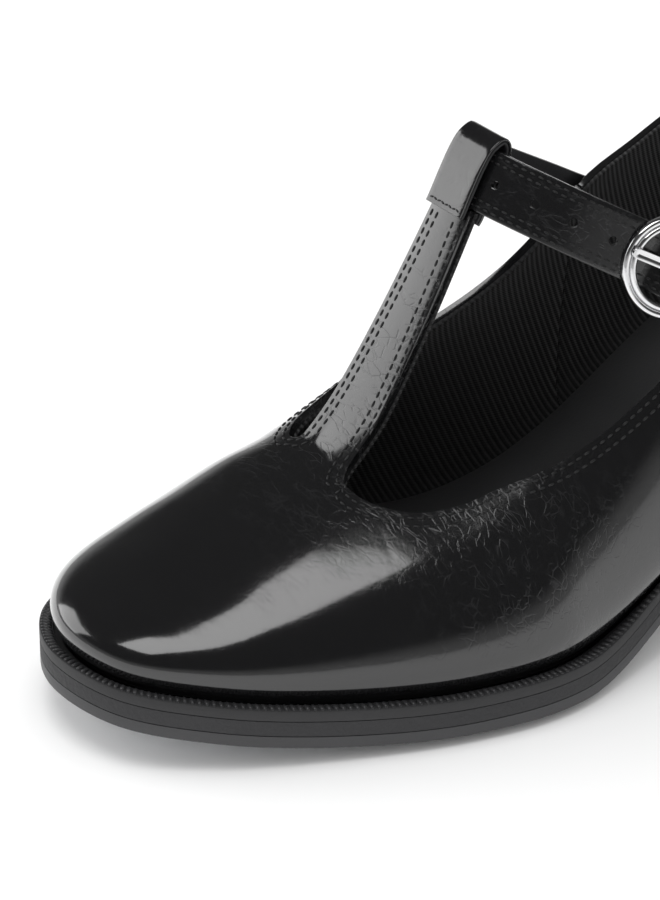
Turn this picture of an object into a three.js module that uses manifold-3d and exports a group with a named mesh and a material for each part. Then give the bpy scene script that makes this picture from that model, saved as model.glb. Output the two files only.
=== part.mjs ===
// A left T-bar tap shoe. Millimetres, +Z up, toe towards -Y, heel towards +Y, buckle side +X.
// Every cemented or sewn layer is a separate solid: taps, heel, sole layers, upper, linings, straps.
import * as THREE from 'three';
import { mergeVertices } from 'three/addons/utils/BufferGeometryUtils.js';
import Module from 'manifold-3d';

const wasm = await Module();
wasm.setup();

// ---------------------------------------------------------------- driving sizes
const shoeLength = 266; // sole edge, toe to heel
const soleWidth = 96; // sole edge across the ball
const heelHeight = 44; // floor to the underside of the outsole at the heel
const toeSpring = 8.8; // rise of the outsole from the ball to the toe
const tapThickness = 2;
const outsoleThickness = 2.8;
const midsoleThickness = 3.6;
const weltThickness = 2.6;
const weltWidth = 5; // shelf of welt outside the upper, round the forepart
const waistWeltWidth = 2.4; // the same at the waist and heel
const insoleThickness = 2.4;
const sockThickness = 2.2;
const upperThickness = 1.4;
const liningThickness = 0.9;
const stiffenerThickness = 0.8; // toe puff and heel counter
const lastingMargin = 10; // how far the upper turns in under the insole
const upperBulge = 3.6; // how far the upper swells out over its own feather line
const throatStation = 72; // toe to the front of the opening
const sideSeamStation = 150; // toe to the seam between vamp and quarter
const tBarWidth = 13; // at its end
const tBarBaseWidth = 19; // just above the throat
const tBarRun = 36.9; // throat to the T-bar's end, along the shoe
const tBarRise = 51.9; // throat to the T-bar's end, upwards
const tBarStartSlope = 28; // degrees above level
const tBarEndSlope = 60;
const loopWidth = 13;
const loopRoom = 3.8; // the loop's height beyond the strap's width, for the strap to pass
const loopDepth = 8.6; // outside, front to back
const strapWidth = 14.5;
const strapThickness = 1.3;
const strapLiningThickness = 1;
const strapHoleDiameter = 2.1;
const strapHolePitch = 9.6;
const strapHoleCount = 4;
const strapTipLength = 27; // strap beyond the buckle's bar
const buckleRoom = 9.5; // the buckle's diameter beyond the strap's width
const buckleBand = 3.3; // radial width of the ring
const buckleThickness = 2.4;
const barDiameter = 2;
const prongWidth = 2.4;
const prongThickness = 1.4;
const chapeThickness = 1.4; // folded tab that holds the buckle
const shankWidth = 14;
const shankThickness = 1.2;
const heelLength = 62; // breast to the back of the heel
const heelTaper = 5; // how far the heel block narrows towards the floor, each side
const topPieceThickness = 5;
const nailDiameter = 2;
const screwDiameter = 2.2;
const seatGap = 0.2; // between cemented layers
const lastedGap = 0.35; // under the turned-in margin of the upper
const clearance = 0.3; // between pieces that only lie against each other

const loopHeight = strapWidth + loopRoom;
const buckleDiameter = strapWidth + buckleRoom;

// ---------------------------------------------------------------- drawn proportions
// Stations along the shoe are drawn on a sole 266 long and 96 wide, and scale with it.
const drawnLength = 266;
const drawnWidth = 96;
const along = shoeLength / drawnLength;
const across = soleWidth / drawnWidth;
const lateralEdge = [
  [14, 4], [28.4, 20.6], [40.8, 45.7], [51, 76], [53.4, 100], [43.5, 136], [36.6, 170], [33.5, 205], [31, 238], [18, 260],
];
const medialEdge = [
  [-23.7, 6.9], [-35.8, 20.2], [-42.3, 50], [-42.6, 80], [-38.6, 106], [-27.5, 138], [-27, 170], [-30, 205], [-30, 238], [-18, 260],
];
const toeTip = [-6, 0];
const heelBack = [0, 266];

// Heights above the top of the welt, as [station, height].
const lateralCrown = [
  [0, 10], [34, 23], [48, 29.3], [60, 34.2], [72, 38], [88, 41.6], [99, 45], [111, 50], [130, 57],
  [141, 61], [160, 72], [186, 86], [232, 104], [266, 104],
];
const medialCrown = [
  [0, 10], [34, 23], [48, 29.3], [60, 34.2], [72, 38], [86, 45.8], [100, 55.5], [117, 66], [142, 76],
  [160, 84], [186, 92], [232, 104], [266, 104],
];
const lateralTopline = [
  [72, 34.2], [88, 35.2], [99, 37.8], [111, 40.3], [130, 43], [141, 43.5], [170, 44.5], [200, 47], [266, 55],
];
const medialTopline = [
  [72, 37.2], [84, 40.5], [92, 43.5], [100, 47], [117, 53.2], [142, 57], [170, 55], [200, 50], [266, 55],
];
const tabRise = 5; // the topline peaks by this much where a strap is sewn on
const tabReach = 13;
const spineSide = [
  [0, -7], [34, -8.5], [70, -11], [100, -4], [140, 3], [200, 3], [266, 0],
];

// ---------------------------------------------------------------- small mathematics
const clamp01 = (t) => Math.min(1, Math.max(0, t));
const smooth = (t) => clamp01(t) ** 2 * (3 - 2 * clamp01(t));
const mix = (a, b, t) => a + (b - a) * t;

// A smooth curve through [station, value] pairs, flat beyond its ends.
function profile(pairs) {
  const stations = pairs.map((pair) => pair[0] * along);
  const values = pairs.map((pair) => pair[1]);
  const last = stations.length - 1;
  const slope = (k) => {
    if (k === 0 || k === last) return 0;
    return (values[k + 1] - values[k - 1]) / (stations[k + 1] - stations[k - 1]);
  };
  return (station) => {
    if (station <= stations[0]) return values[0];
    if (station >= stations[last]) return values[last];
    let k = 0;
    while (station > stations[k + 1]) k += 1;
    const span = stations[k + 1] - stations[k];
    const t = (station - stations[k]) / span;
    const t2 = t * t;
    const t3 = t2 * t;
    return (2 * t3 - 3 * t2 + 1) * values[k] + (t3 - 2 * t2 + t) * span * slope(k)
      + (3 * t2 - 2 * t3) * values[k + 1] + (t3 - t2) * span * slope(k + 1);
  };
}

// The value of t between low and high where the rising function reaches the target.
function solve(rising, target, low, high) {
  let a = low;
  let b = high;
  for (let step = 0; step < 50; step += 1) {
    const middle = (a + b) / 2;
    if (rising(middle) < target) a = middle;
    else b = middle;
  }
  return (a + b) / 2;
}

// ---------------------------------------------------------------- the sole's outline and levels
const outlinePoints = [toeTip, ...lateralEdge, heelBack, ...medialEdge.slice().reverse()]
  .map(([x, station]) => new THREE.Vector3(x * across, station * along, 0));
const outline = new THREE.CatmullRomCurve3(outlinePoints, true, 'centripetal');
const heelParameter = (lateralEdge.length + 1) / outlinePoints.length;
const outlineSamples = 240;

function sideLine(from, to) {
  const points = [];
  const parameters = [];
  for (let k = 0; k <= outlineSamples; k += 1) {
    parameters.push(mix(from, to, k / outlineSamples));
    points.push(outline.getPoint(parameters[k]));
  }
  const lengths = [0];
  for (let k = 1; k < points.length; k += 1) lengths.push(lengths[k - 1] + points[k].distanceTo(points[k - 1]));
  return { points, parameters, lengths, total: lengths[outlineSamples] };
}
const lateralLine = sideLine(0, heelParameter);
const medialLine = sideLine(1, heelParameter);

// Direction of the closed outline, taken across its start where it begins and ends.
const outlineDirection = (t) => outline.getPoint((t + 1.0005) % 1).sub(outline.getPoint((t + 0.9995) % 1)).normalize();

// A point on the sole's edge, moved in by inset. u runs from 0 at the toe to 1 at the heel.
function edge(side, u, inset) {
  const line = side > 0 ? lateralLine : medialLine;
  const target = clamp01(u) * line.total;
  let k = Math.min(outlineSamples - 1, Math.floor(clamp01(u) * outlineSamples));
  while (k > 0 && line.lengths[k] > target) k -= 1;
  while (k < outlineSamples - 1 && line.lengths[k + 1] < target) k += 1;
  const t = (target - line.lengths[k]) / (line.lengths[k + 1] - line.lengths[k]);
  const point = line.points[k].clone().lerp(line.points[k + 1], t);
  const tangent = outlineDirection(mix(line.parameters[k], line.parameters[k + 1], t));
  return new THREE.Vector2(point.x - tangent.y * inset, point.y + tangent.x * inset);
}

// Height of the outsole's underside above the floor.
const ballStart = 80 * along;
const ballEnd = 105 * along;
const seatStart = 210 * along;
function soleUnder(station) {
  const toe = Math.max(0, (ballStart - station) / ballStart);
  const heel = smooth((station - ballEnd) / (seatStart - ballEnd));
  return tapThickness + toeSpring * toe * toe + (heelHeight - tapThickness) * heel;
}
const midsoleLevel = outsoleThickness + seatGap;
const weltLevel = midsoleLevel + midsoleThickness + seatGap;
const deckLevel = weltLevel + weltThickness;
const deck = (station) => soleUnder(station) + deckLevel;
const marginLevel = lastedGap - seatGap - weltThickness; // heights of the layers are measured from the deck
const insoleBottom = marginLevel + upperThickness + clearance;
const insoleTop = insoleBottom + insoleThickness;
const sockBottom = insoleTop + seatGap;
const sockTop = sockBottom + sockThickness;
const liningGap = 0.4;
const wallDepth = upperThickness + stiffenerThickness + liningThickness + seatGap + liningGap + clearance;

function weltWidthAt(station) {
  return mix(weltWidth, waistWeltWidth, smooth((station - 108 * along) / (34 * along)));
}

// The upper's foot on the sole, where it meets the welt.
function foot(side, u, inset = 0) {
  const station = edge(side, u, 0).y;
  return edge(side, u, weltWidthAt(station) + inset);
}

// ---------------------------------------------------------------- the upper's surface
// Ribs run from the foot of the upper to a spine along the shoe. They fan out at the toe and the heel.
const fanReach = 34 * along;
const fanFade = 40 * along;
function spineStation(u) {
  const station = (edge(1, u, 0).y + edge(-1, u, 0).y) / 2;
  const toe = fanReach * Math.exp(-station / fanFade);
  const heel = fanReach * Math.exp(-(shoeLength - station) / fanFade);
  return station + toe - heel;
}
const uAt = (station) => solve(spineStation, station * along, 0, 1);
const crowns = { 1: profile(lateralCrown), '-1': profile(medialCrown) };
const spineX = profile(spineSide.map(([station, x]) => [station, x * across]));
const crossPower = 0.85;
const risePower = 0.9;

function wallPoint(side, u, rise) {
  const station = spineStation(u);
  const base = foot(side, u);
  const crown = crowns[side](station);
  const slope = (crowns[side](station + 0.5) - crowns[side](station - 0.5)) * smooth(2 - station / (60 * along));
  const height = crown * Math.sin(rise) ** risePower;
  const swell = upperBulge * (1 - Math.exp(-height / 3)) * Math.cos(rise);
  const dx = base.x - spineX(station);
  const dy = base.y - station;
  const reach = Math.max(0, Math.cos(rise)) ** crossPower + swell / Math.hypot(dx, dy);
  const y = station + dy * reach;
  const z = deck(y) + height + slope * (y - station) * Math.sin(rise) ** 2;
  return new THREE.Vector3(spineX(station) + dx * reach, y, z);
}

// On the spine both sides share one direction.
function spineNormal(u) {
  const behind = wallPoint(1, Math.max(0, u - 0.004), Math.PI / 2);
  const tangent = wallPoint(1, Math.max(u, 0.004), Math.PI / 2).sub(behind);
  return new THREE.Vector3(0, -tangent.z, tangent.y).normalize();
}

function wallNormal(side, u, rise) {
  if (rise > Math.PI / 2 - 1e-6) return spineNormal(u);
  const du = 0.002;
  const dr = 0.02;
  const r = Math.min(Math.PI / 2 - 2 * dr, Math.max(rise, dr));
  let a = wallPoint(side, u + du, r).sub(wallPoint(side, u - du, r)).multiplyScalar(side);
  if (u <= 0) a = wallPoint(1, du, r).sub(wallPoint(-1, du, r));
  if (u >= 1) a = wallPoint(-1, 1 - du, r).sub(wallPoint(1, 1 - du, r));
  const b = wallPoint(side, u, r + dr).sub(wallPoint(side, u, r - dr));
  const normal = a.cross(b).normalize();
  const base = foot(side, u);
  const inner = edge(side, u, 20);
  const level = new THREE.Vector3(base.x - inner.x, base.y - inner.y, 0).normalize();
  const height = wallPoint(side, u, rise).z - deck(base.y);
  return level.lerp(normal, smooth(height / 9)).normalize();
}

// A point below the surface by depth; a negative depth is outside it.
function skin(side, u, rise, depth) {
  return wallPoint(side, u, rise).addScaledVector(wallNormal(side, u, rise), -depth);
}

// The rise angle at which the wall is so far above the welt.
function riseFor(side, u, height) {
  const station = spineStation(u);
  return Math.asin(Math.min(0.999, height / crowns[side](station)) ** (1 / risePower));
}

// ---------------------------------------------------------------- the T-bar and the strap's plane
const throatU = uAt(throatStation);
const degrees = (angle) => THREE.MathUtils.degToRad(angle);
const inclined = (angle) => new THREE.Vector3(0, Math.cos(degrees(angle)), Math.sin(degrees(angle)));
const barUp = inclined(tBarEndSlope); // along the T-bar at its end
const barOut = inclined(tBarEndSlope + 90); // out of its face
const throatTop = wallPoint(1, throatU, Math.PI / 2);
const tBarSide = [-5.5 * across, -8 * across]; // its middle line, at the throat and at the end
const sideways = new THREE.Vector3(1, 0, 0);

// The T-bar's middle line bends from the slope of the vamp to its own.
const bendAngle = Math.sin(degrees(tBarEndSlope - tBarStartSlope));
const bendReach = (tBarRun * barUp.z - tBarRise * barUp.y) / bendAngle;
const barLine = new THREE.QuadraticBezierCurve3(
  new THREE.Vector3(tBarSide[0], throatTop.y, throatTop.z),
  new THREE.Vector3(mix(...tBarSide, 0.4), throatTop.y, throatTop.z).addScaledVector(inclined(tBarStartSlope), bendReach),
  new THREE.Vector3(tBarSide[1], throatTop.y + tBarRun, throatTop.z + tBarRise),
);
const barEnd = barLine.getPoint(1);

// The strap lies on edge lines parallel to the T-bar, so its run is a flat curve of x and outward distance.
const strapStack = strapThickness + strapLiningThickness + seatGap;
const loopCentreUp = strapWidth / 2 + 0.55;
const strapOrigin = barEnd.clone().addScaledVector(barUp, loopCentreUp);
function onStrapPlane(x, out, up = 0) {
  return new THREE.Vector3(x, strapOrigin.y, strapOrigin.z).addScaledVector(barOut, out).addScaledVector(barUp, up);
}

// Where the middle of the strap crosses a quarter, so far down the wall from the tab's tip.
function wallCrossing(side, drop) {
  const heightAt = (u) => strapPlaneHeight(u) - deck(spineStation(u));
  const u = solve((t) => -heightAt(t), -(tabHeight(side) - drop), uAt(130), uAt(205));
  return { u, rise: riseFor(side, u, heightAt(u)) };
}
function strapPlaneHeight(u) {
  const station = spineStation(u);
  return strapOrigin.z - (station - strapOrigin.y) * (barUp.y / barUp.z);
}
function tabHeight(side) {
  const topline = side > 0 ? lateralTopline : medialTopline;
  return profile(topline)(158 * along) + tabRise;
}
const tabStation = { 1: 0, '-1': 0 };
tabStation[1] = spineStation(wallCrossing(1, 3).u);
tabStation[-1] = spineStation(wallCrossing(-1, 3).u);

const toplines = { 1: profile(lateralTopline), '-1': profile(medialTopline) };
function toplineHeight(side, u) {
  const station = spineStation(u);
  const tab = tabRise * Math.exp(-(((station - tabStation[side]) / tabReach) ** 2));
  return toplines[side](station) + tab;
}

// The T-bar flares into the vamp with a fillet, wider on the lateral side.
const flare = { 1: 5 * across, '-1': 2.5 * across };
function barHalf(side, distance) {
  const t = clamp01(1 - distance / flare[side]);
  const t2 = clamp01(distance / barLine.getLength());
  return mix(tBarBaseWidth, tBarWidth, t2) / 2 + flare[side] * (1 - Math.sqrt(1 - t * t));
}

// Angle of the throat's corners, and of the topline behind them.
const throatCorner = { 1: 11 * along, '-1': 8 * along };
function splitRise(side) {
  const reach = Math.abs(foot(side, throatU).x - spineX(spineStation(throatU)));
  const offset = side * (tBarSide[0] - spineX(spineStation(throatU))) + barHalf(side, 0);
  return Math.acos((offset / reach) ** (1 / crossPower));
}
const throatRise = { 1: splitRise(1), '-1': splitRise(-1) };
const evenRise = (throatRise[1] + throatRise[-1]) / 2;
const crestRise = (side, u) => mix(evenRise, throatRise[side], clamp01(u / throatU) ** 2); // the same at the toe for both sides
function toplineRise(side, u) {
  const beyond = (spineStation(u) - spineStation(throatU)) / throatCorner[side];
  const open = riseFor(side, u, toplineHeight(side, u));
  if (beyond >= 1) return open;
  const t = Math.max(0, beyond);
  return mix(throatRise[side], open, Math.sqrt(1 - (1 - t) ** 2));
}

// ---------------------------------------------------------------- building solids
// A solid made of an outer sheet and an inner sheet with the same layout, closed by walls at its borders.
class Sheet {
  constructor() {
    this.outer = [];
    this.inner = [];
    this.triangles = [];
    this.index = new Map();
  }

  vertex([outer, inner]) {
    const key = outer.toArray().map((v) => Math.round(v * 1000)).join();
    if (!this.index.has(key)) {
      this.index.set(key, this.outer.length);
      this.outer.push(outer);
      this.inner.push(inner);
    }
    return this.index.get(key);
  }

  triangle(a, b, c) {
    if (a !== b && b !== c && c !== a) this.triangles.push([a, b, c]);
  }

  // grid[i][j] holds [outer, inner] pairs.
  addGrid(grid, flip = false) {
    const ids = grid.map((row) => row.map((pair) => this.vertex(pair)));
    for (let i = 0; i + 1 < ids.length; i += 1) {
      for (let j = 0; j + 1 < ids[i].length; j += 1) {
        const corners = [ids[i][j], ids[i + 1][j], ids[i + 1][j + 1], ids[i][j + 1]];
        if (flip) corners.reverse();
        this.triangle(corners[0], corners[1], corners[2]);
        this.triangle(corners[0], corners[2], corners[3]);
      }
    }
    return this;
  }

  geometry() {
    const count = this.outer.length;
    const edges = new Set();
    for (const [a, b, c] of this.triangles) [[a, b], [b, c], [c, a]].forEach(([p, q]) => edges.add(`${p},${q}`));
    const faces = [];
    for (const [a, b, c] of this.triangles) {
      faces.push([a, b, c], [a + count, c + count, b + count]);
      for (const [p, q] of [[a, b], [b, c], [c, a]]) {
        if (!edges.has(`${q},${p}`)) faces.push([q, p, p + count], [q, p + count, q + count]);
      }
    }
    const points = [...this.outer, ...this.inner];
    const volume = faces.reduce((sum, [a, b, c]) => sum + points[a].dot(points[b].clone().cross(points[c])), 0);
    if (volume < 0) faces.forEach((face) => face.reverse());
    const geometry = new THREE.BufferGeometry();
    geometry.setAttribute('position', new THREE.Float32BufferAttribute(points.flatMap((p) => p.toArray()), 3));
    geometry.setIndex(faces.flat());
    return geometry;
  }
}

function toSolid(geometry) {
  const bare = geometry.clone();
  bare.deleteAttribute('normal');
  bare.deleteAttribute('uv');
  const merged = mergeVertices(bare, 1e-4);
  return new wasm.Manifold(new wasm.Mesh({
    numProp: 3,
    vertProperties: new Float32Array(merged.attributes.position.array),
    triVerts: new Uint32Array(merged.index.array),
  }));
}

function fromSolid(solid) {
  const { vertProperties, triVerts } = solid.getMesh();
  const geometry = new THREE.BufferGeometry();
  geometry.setAttribute('position', new THREE.BufferAttribute(new Float32Array(vertProperties), 3));
  geometry.setIndex(new THREE.BufferAttribute(new Uint32Array(triVerts), 1));
  return geometry;
}

function cut(geometry, cutters) {
  return fromSolid(cutters.reduce((solid, cutter) => solid.subtract(toSolid(cutter)), toSolid(geometry)));
}

// Turns a shape drawn in its own x, y and z so that those axes lie along a, b and c.
function place(geometry, a, b, c, origin) {
  const matrix = new THREE.Matrix4().makeBasis(a, b, c).setPosition(origin);
  return geometry.applyMatrix4(matrix);
}

// The outline of a strip of even thickness that follows a flat curve.
function ribbonShape(path, thickness, steps, offset = 0) {
  const near = [];
  const far = [];
  for (let k = 0; k <= steps; k += 1) {
    const t = k / steps;
    const point = path.getPointAt(t);
    const tangent = path.getTangentAt(t);
    const normal = new THREE.Vector2(-tangent.y, tangent.x);
    near.push(point.clone().addScaledVector(normal, offset - thickness / 2));
    far.push(point.clone().addScaledVector(normal, offset + thickness / 2));
  }
  return new THREE.Shape([...near, ...far.reverse()]);
}

const materials = {
  patent: new THREE.MeshStandardMaterial({ color: 0x0c0c0d, roughness: 0.18, metalness: 0 }),
  soleEdge: new THREE.MeshStandardMaterial({ color: 0x2e2e30, roughness: 0.55, metalness: 0 }),
  midsole: new THREE.MeshStandardMaterial({ color: 0x252527, roughness: 0.75, metalness: 0 }),
  lining: new THREE.MeshStandardMaterial({ color: 0x111112, roughness: 0.9, metalness: 0 }),
  leatherLining: new THREE.MeshStandardMaterial({ color: 0x161617, roughness: 0.6, metalness: 0 }),
  board: new THREE.MeshStandardMaterial({ color: 0x8a7456, roughness: 0.9, metalness: 0 }),
  filler: new THREE.MeshStandardMaterial({ color: 0xa5855c, roughness: 0.95, metalness: 0 }),
  steel: new THREE.MeshStandardMaterial({ color: 0x9a9da2, roughness: 0.35, metalness: 1 }),
  chrome: new THREE.MeshStandardMaterial({ color: 0xd9dade, roughness: 0.12, metalness: 1 }),
  aluminium: new THREE.MeshStandardMaterial({ color: 0xb9bcc0, roughness: 0.4, metalness: 1 }),
  rubber: new THREE.MeshStandardMaterial({ color: 0x1b1b1c, roughness: 0.8, metalness: 0 }),
};

const shoe = new THREE.Group();
function add(name, geometry, material) {
  const mesh = new THREE.Mesh(geometry, material);
  mesh.name = name;
  shoe.add(mesh);
  return mesh;
}

// ---------------------------------------------------------------- fasteners
// A headed pin standing at x and station, from its head's top down to its point.
function pin(x, station, top, bottom, radius, headRadius, headHeight, pointUp = false) {
  const length = top - bottom;
  const profilePoints = [[0, 0], [radius * 0.4, 0], [radius, 1.5], [radius, length - headHeight],
    [headRadius, length - headHeight * 0.3], [headRadius, length], [0, length]];
  const geometry = new THREE.LatheGeometry(profilePoints.map(([r, h]) => new THREE.Vector2(r, h)), 10);
  geometry.rotateX(pointUp ? -Math.PI / 2 : Math.PI / 2);
  geometry.translate(x, station, pointUp ? top : bottom);
  return geometry;
}

// The hole that a pin needs, opened by the clearance.
function pinHole(x, station, top, bottom, radius, headRadius, headHeight, pointUp = false) {
  const grown = clearance * 0.6;
  const length = top - bottom + 2 * grown;
  const points = [[0, 0], [radius + grown, 0], [radius + grown, length - headHeight - 2 * grown],
    [headRadius + grown, length - headHeight * 0.3 - 2 * grown], [headRadius + grown, length], [0, length]];
  const geometry = new THREE.LatheGeometry(points.map(([r, h]) => new THREE.Vector2(r, h)), 10);
  geometry.rotateX(pointUp ? -Math.PI / 2 : Math.PI / 2);
  geometry.translate(x, station, pointUp ? top + grown : bottom - grown);
  return geometry;
}

const screwSpots = [[-8, 20], [-27, 70], [22, 74]].map(([x, station]) => [x * across, station * along]);
const heelScrewSpots = [[-17, 226], [18, 226], [0.5, 250]].map(([x, station]) => [x * across, station * along]);
const nailSpots = [[-10, 216], [11, 216], [0.5, 236]].map(([x, station]) => [x * across, station * along]);
const screwHead = { radius: screwDiameter, height: 1.2 };
const nailHead = { radius: nailDiameter, height: 0.9 };
const toeScrewReach = tapThickness + outsoleThickness + midsoleThickness * 0.6;
const toeScrews = screwSpots.map(([x, station]) => {
  const floor = soleUnder(station) - tapThickness + 0.15;
  return [x, station, floor + toeScrewReach, floor, screwDiameter / 2, screwHead.radius, screwHead.height, true];
});
const heelScrews = heelScrewSpots.map(([x, station]) => (
  [x, station, topPieceThickness + tapThickness + 9, 0.15, screwDiameter / 2, screwHead.radius, screwHead.height, true]
));
const nails = nailSpots.map(([x, station]) => {
  const top = deck(station) + insoleTop - 0.05;
  return [x, station, top, top - 26, nailDiameter / 2, nailHead.radius, nailHead.height, false];
});
const toeHoles = () => toeScrews.map((size) => pinHole(...size));
const heelHoles = () => heelScrews.map((size) => pinHole(...size));
const nailHoles = () => nails.map((size) => pinHole(...size));

// ---------------------------------------------------------------- taps, heel and sole layers
// A slab that follows the sole, between two levels given at each station.
function slab(fromU, toU, inset, top, bottom, rows, columns = 2) {
  const sheet = new Sheet();
  const grid = [];
  for (let i = 0; i <= rows; i += 1) {
    const u = mix(fromU, toU, i / rows);
    const left = edge(-1, u, inset(-1, u));
    const right = edge(1, u, inset(1, u));
    const row = [];
    for (let j = 0; j <= columns; j += 1) {
      const x = mix(left.x, right.x, j / columns);
      const y = mix(left.y, right.y, j / columns);
      row.push([new THREE.Vector3(x, y, top(y)), new THREE.Vector3(x, y, bottom(y))]);
    }
    grid.push(row);
  }
  return sheet.addGrid(grid).geometry();
}

const flush = () => 0;
const outsole = slab(0, 1, flush, (y) => soleUnder(y) + outsoleThickness, soleUnder, 38);
add('outsole', cut(outsole, [...toeHoles(), ...nailHoles()]), materials.soleEdge);

const midsole = slab(0, 1, flush, (y) => soleUnder(y) + midsoleLevel + midsoleThickness, (y) => soleUnder(y) + midsoleLevel, 38);
add('midsole', cut(midsole, [...toeHoles(), ...nailHoles()]), materials.midsole);

const tapInset = 5;
const toeTapEnd = 94;
const edgeU = (station) => solve((u) => (edge(1, u, 0).y + edge(-1, u, 0).y) / 2, station * along, 0, 1);
const toeTap = slab(0, edgeU(toeTapEnd), () => tapInset, (y) => soleUnder(y) - seatGap, (y) => soleUnder(y) - tapThickness, 20);
add('toe_tap', cut(toeTap, toeHoles()), materials.aluminium);
toeScrews.forEach((size, k) => add(`toe_tap_screw_${k + 1}`, pin(...size), materials.steel));

const breastU = edgeU(drawnLength - heelLength / along);
// A stack that narrows from the sole to the floor: inset grows with depth below the sole.
function heelSlice(topInset, bottomInset, top, bottom, rows = 16) {
  const sheet = new Sheet();
  const grid = [];
  for (let i = 0; i <= rows; i += 1) {
    const u = mix(breastU, 1, i / rows);
    const row = [];
    for (let j = 0; j <= 4; j += 1) {
      const upper = edge(-1, u, topInset).lerp(edge(1, u, topInset), j / 4);
      const lower = edge(-1, u, bottomInset).lerp(edge(1, u, bottomInset), j / 4);
      row.push([new THREE.Vector3(upper.x, upper.y, top(upper.y)), new THREE.Vector3(lower.x, lower.y, bottom)]);
    }
    grid.push(row);
  }
  return sheet.addGrid(grid).geometry();
}
const topPieceTop = tapThickness + seatGap + topPieceThickness;
const heelInset = 1;
const taperPerMm = heelTaper / heelHeight;
const heelBlock = heelSlice(heelInset, heelInset + taperPerMm * (heelHeight - topPieceTop), (y) => soleUnder(y) - seatGap, topPieceTop + seatGap);
add('heel_block', cut(heelBlock, [...heelHoles(), ...nailHoles()]), materials.soleEdge);
const topPiece = heelSlice(heelInset + heelTaper - taperPerMm * topPieceTop, heelInset + heelTaper, () => topPieceTop, tapThickness + seatGap);
add('heel_top_piece', cut(topPiece, heelHoles()), materials.rubber);
const heelTap = heelSlice(heelInset + heelTaper + 2, heelInset + heelTaper + 2, () => tapThickness, 0);
add('heel_tap', cut(heelTap, heelHoles()), materials.aluminium);
heelScrews.forEach((size, k) => add(`heel_tap_screw_${k + 1}`, pin(...size), materials.steel));
nails.forEach((size, k) => add(`heel_nail_${k + 1}`, pin(...size), materials.steel));

// The welt is a flat ring outside the foot of the upper.
function ring(innerInset, outerInset, top, bottom, steps) {
  const sheet = new Sheet();
  const grid = [];
  const column = (side, u) => [innerInset(side, u), outerInset].map((inset) => {
    const p = edge(side, u, inset);
    return [new THREE.Vector3(p.x, p.y, top(p.y)), new THREE.Vector3(p.x, p.y, bottom(p.y))];
  });
  for (let i = 0; i <= steps; i += 1) grid.push(column(1, i / steps));
  for (let i = steps - 1; i >= 0; i -= 1) grid.push(column(-1, i / steps));
  return sheet.addGrid(grid).geometry();
}
const weltInner = (side, u) => weltWidthAt(edge(side, u, 0).y) - clearance;
add('welt', ring(weltInner, 0, deck, (y) => soleUnder(y) + weltLevel, 44), materials.soleEdge);

const insoleInset = (side, u) => weltWidthAt(edge(side, u, 0).y) + wallDepth;
const insoleBoard = slab(0, 1, insoleInset, (y) => deck(y) + insoleTop, (y) => deck(y) + insoleBottom, 36);
add('insole_board', cut(insoleBoard, nailHoles()), materials.board);
add('sock_liner', slab(0, 1, insoleInset, (y) => deck(y) + sockTop, (y) => deck(y) + sockBottom, 36), materials.leatherLining);

const fillerInset = (side, u) => weltWidthAt(edge(side, u, 0).y) + lastingMargin + 0.6;
const fillerTop = (y) => deck(y) + insoleBottom - seatGap;
const fillerBottom = (y) => deck(y) - weltThickness + 0.1;
const filler = slab(0.03, edgeU(98), fillerInset, fillerTop, fillerBottom, 16);
add('bottom_filler', cut(filler, toeHoles()), materials.filler);

const shankStations = [104 * along, 206 * along];
const shankGrid = [];
for (let i = 0; i <= 14; i += 1) {
  const y = mix(shankStations[0], shankStations[1], i / 14);
  const half = (shankWidth / 2) * Math.sin(Math.PI * mix(0.18, 0.82, i / 14)) ** 0.5;
  shankGrid.push([-half, half].map((x) => {
    const bottom = new THREE.Vector3(x + spineX(y), y, deck(y) - weltThickness + 0.1);
    return [bottom.clone().setZ(bottom.z + shankThickness), bottom];
  }));
}
add('shank', new Sheet().addGrid(shankGrid).geometry(), materials.steel);

// ---------------------------------------------------------------- upper and linings
const lowRows = 7; // rows from the welt to the topline
const capRows = 3; // rows from the T-bar's edge to the spine
const quarterTurn = Math.PI / 2;

// The turned-in margin and the foot of the upper, as [outer, inner] pairs.
function footRows(side, u) {
  const far = foot(side, u, lastingMargin);
  const outerFoot = foot(side, u);
  const innerFoot = foot(side, u, upperThickness);
  const level = (p) => deck(p.y) + marginLevel;
  const lift = (p, z) => new THREE.Vector3(p.x, p.y, z);
  return [
    [lift(far, level(far)), lift(far, level(far) + upperThickness)],
    [lift(outerFoot, level(outerFoot)), lift(innerFoot, level(innerFoot) + upperThickness)],
  ];
}

// Rise angles of the low rows: close together near the welt, then even up to the given top.
const lowRise = (top, j) => top * (j / lowRows) ** 1.25;

// Rise angles over the crown of the toe, at even shares of the throat's half width.
function capRise(side, u, j) {
  const share = 1 - j / capRows;
  return Math.acos(Math.cos(crestRise(side, u)) * share ** (1 / crossPower));
}

const throatSteps = 11;
const forepartU = (i) => throatU * (i / throatSteps) ** 0.9;
const wingSteps = 14;
const wingU = [];
for (let i = 1; i <= wingSteps; i += 1) {
  wingU.push(uAt(mix(throatStation, sideSeamStation, (i / wingSteps) ** 1.5)));
}

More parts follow.
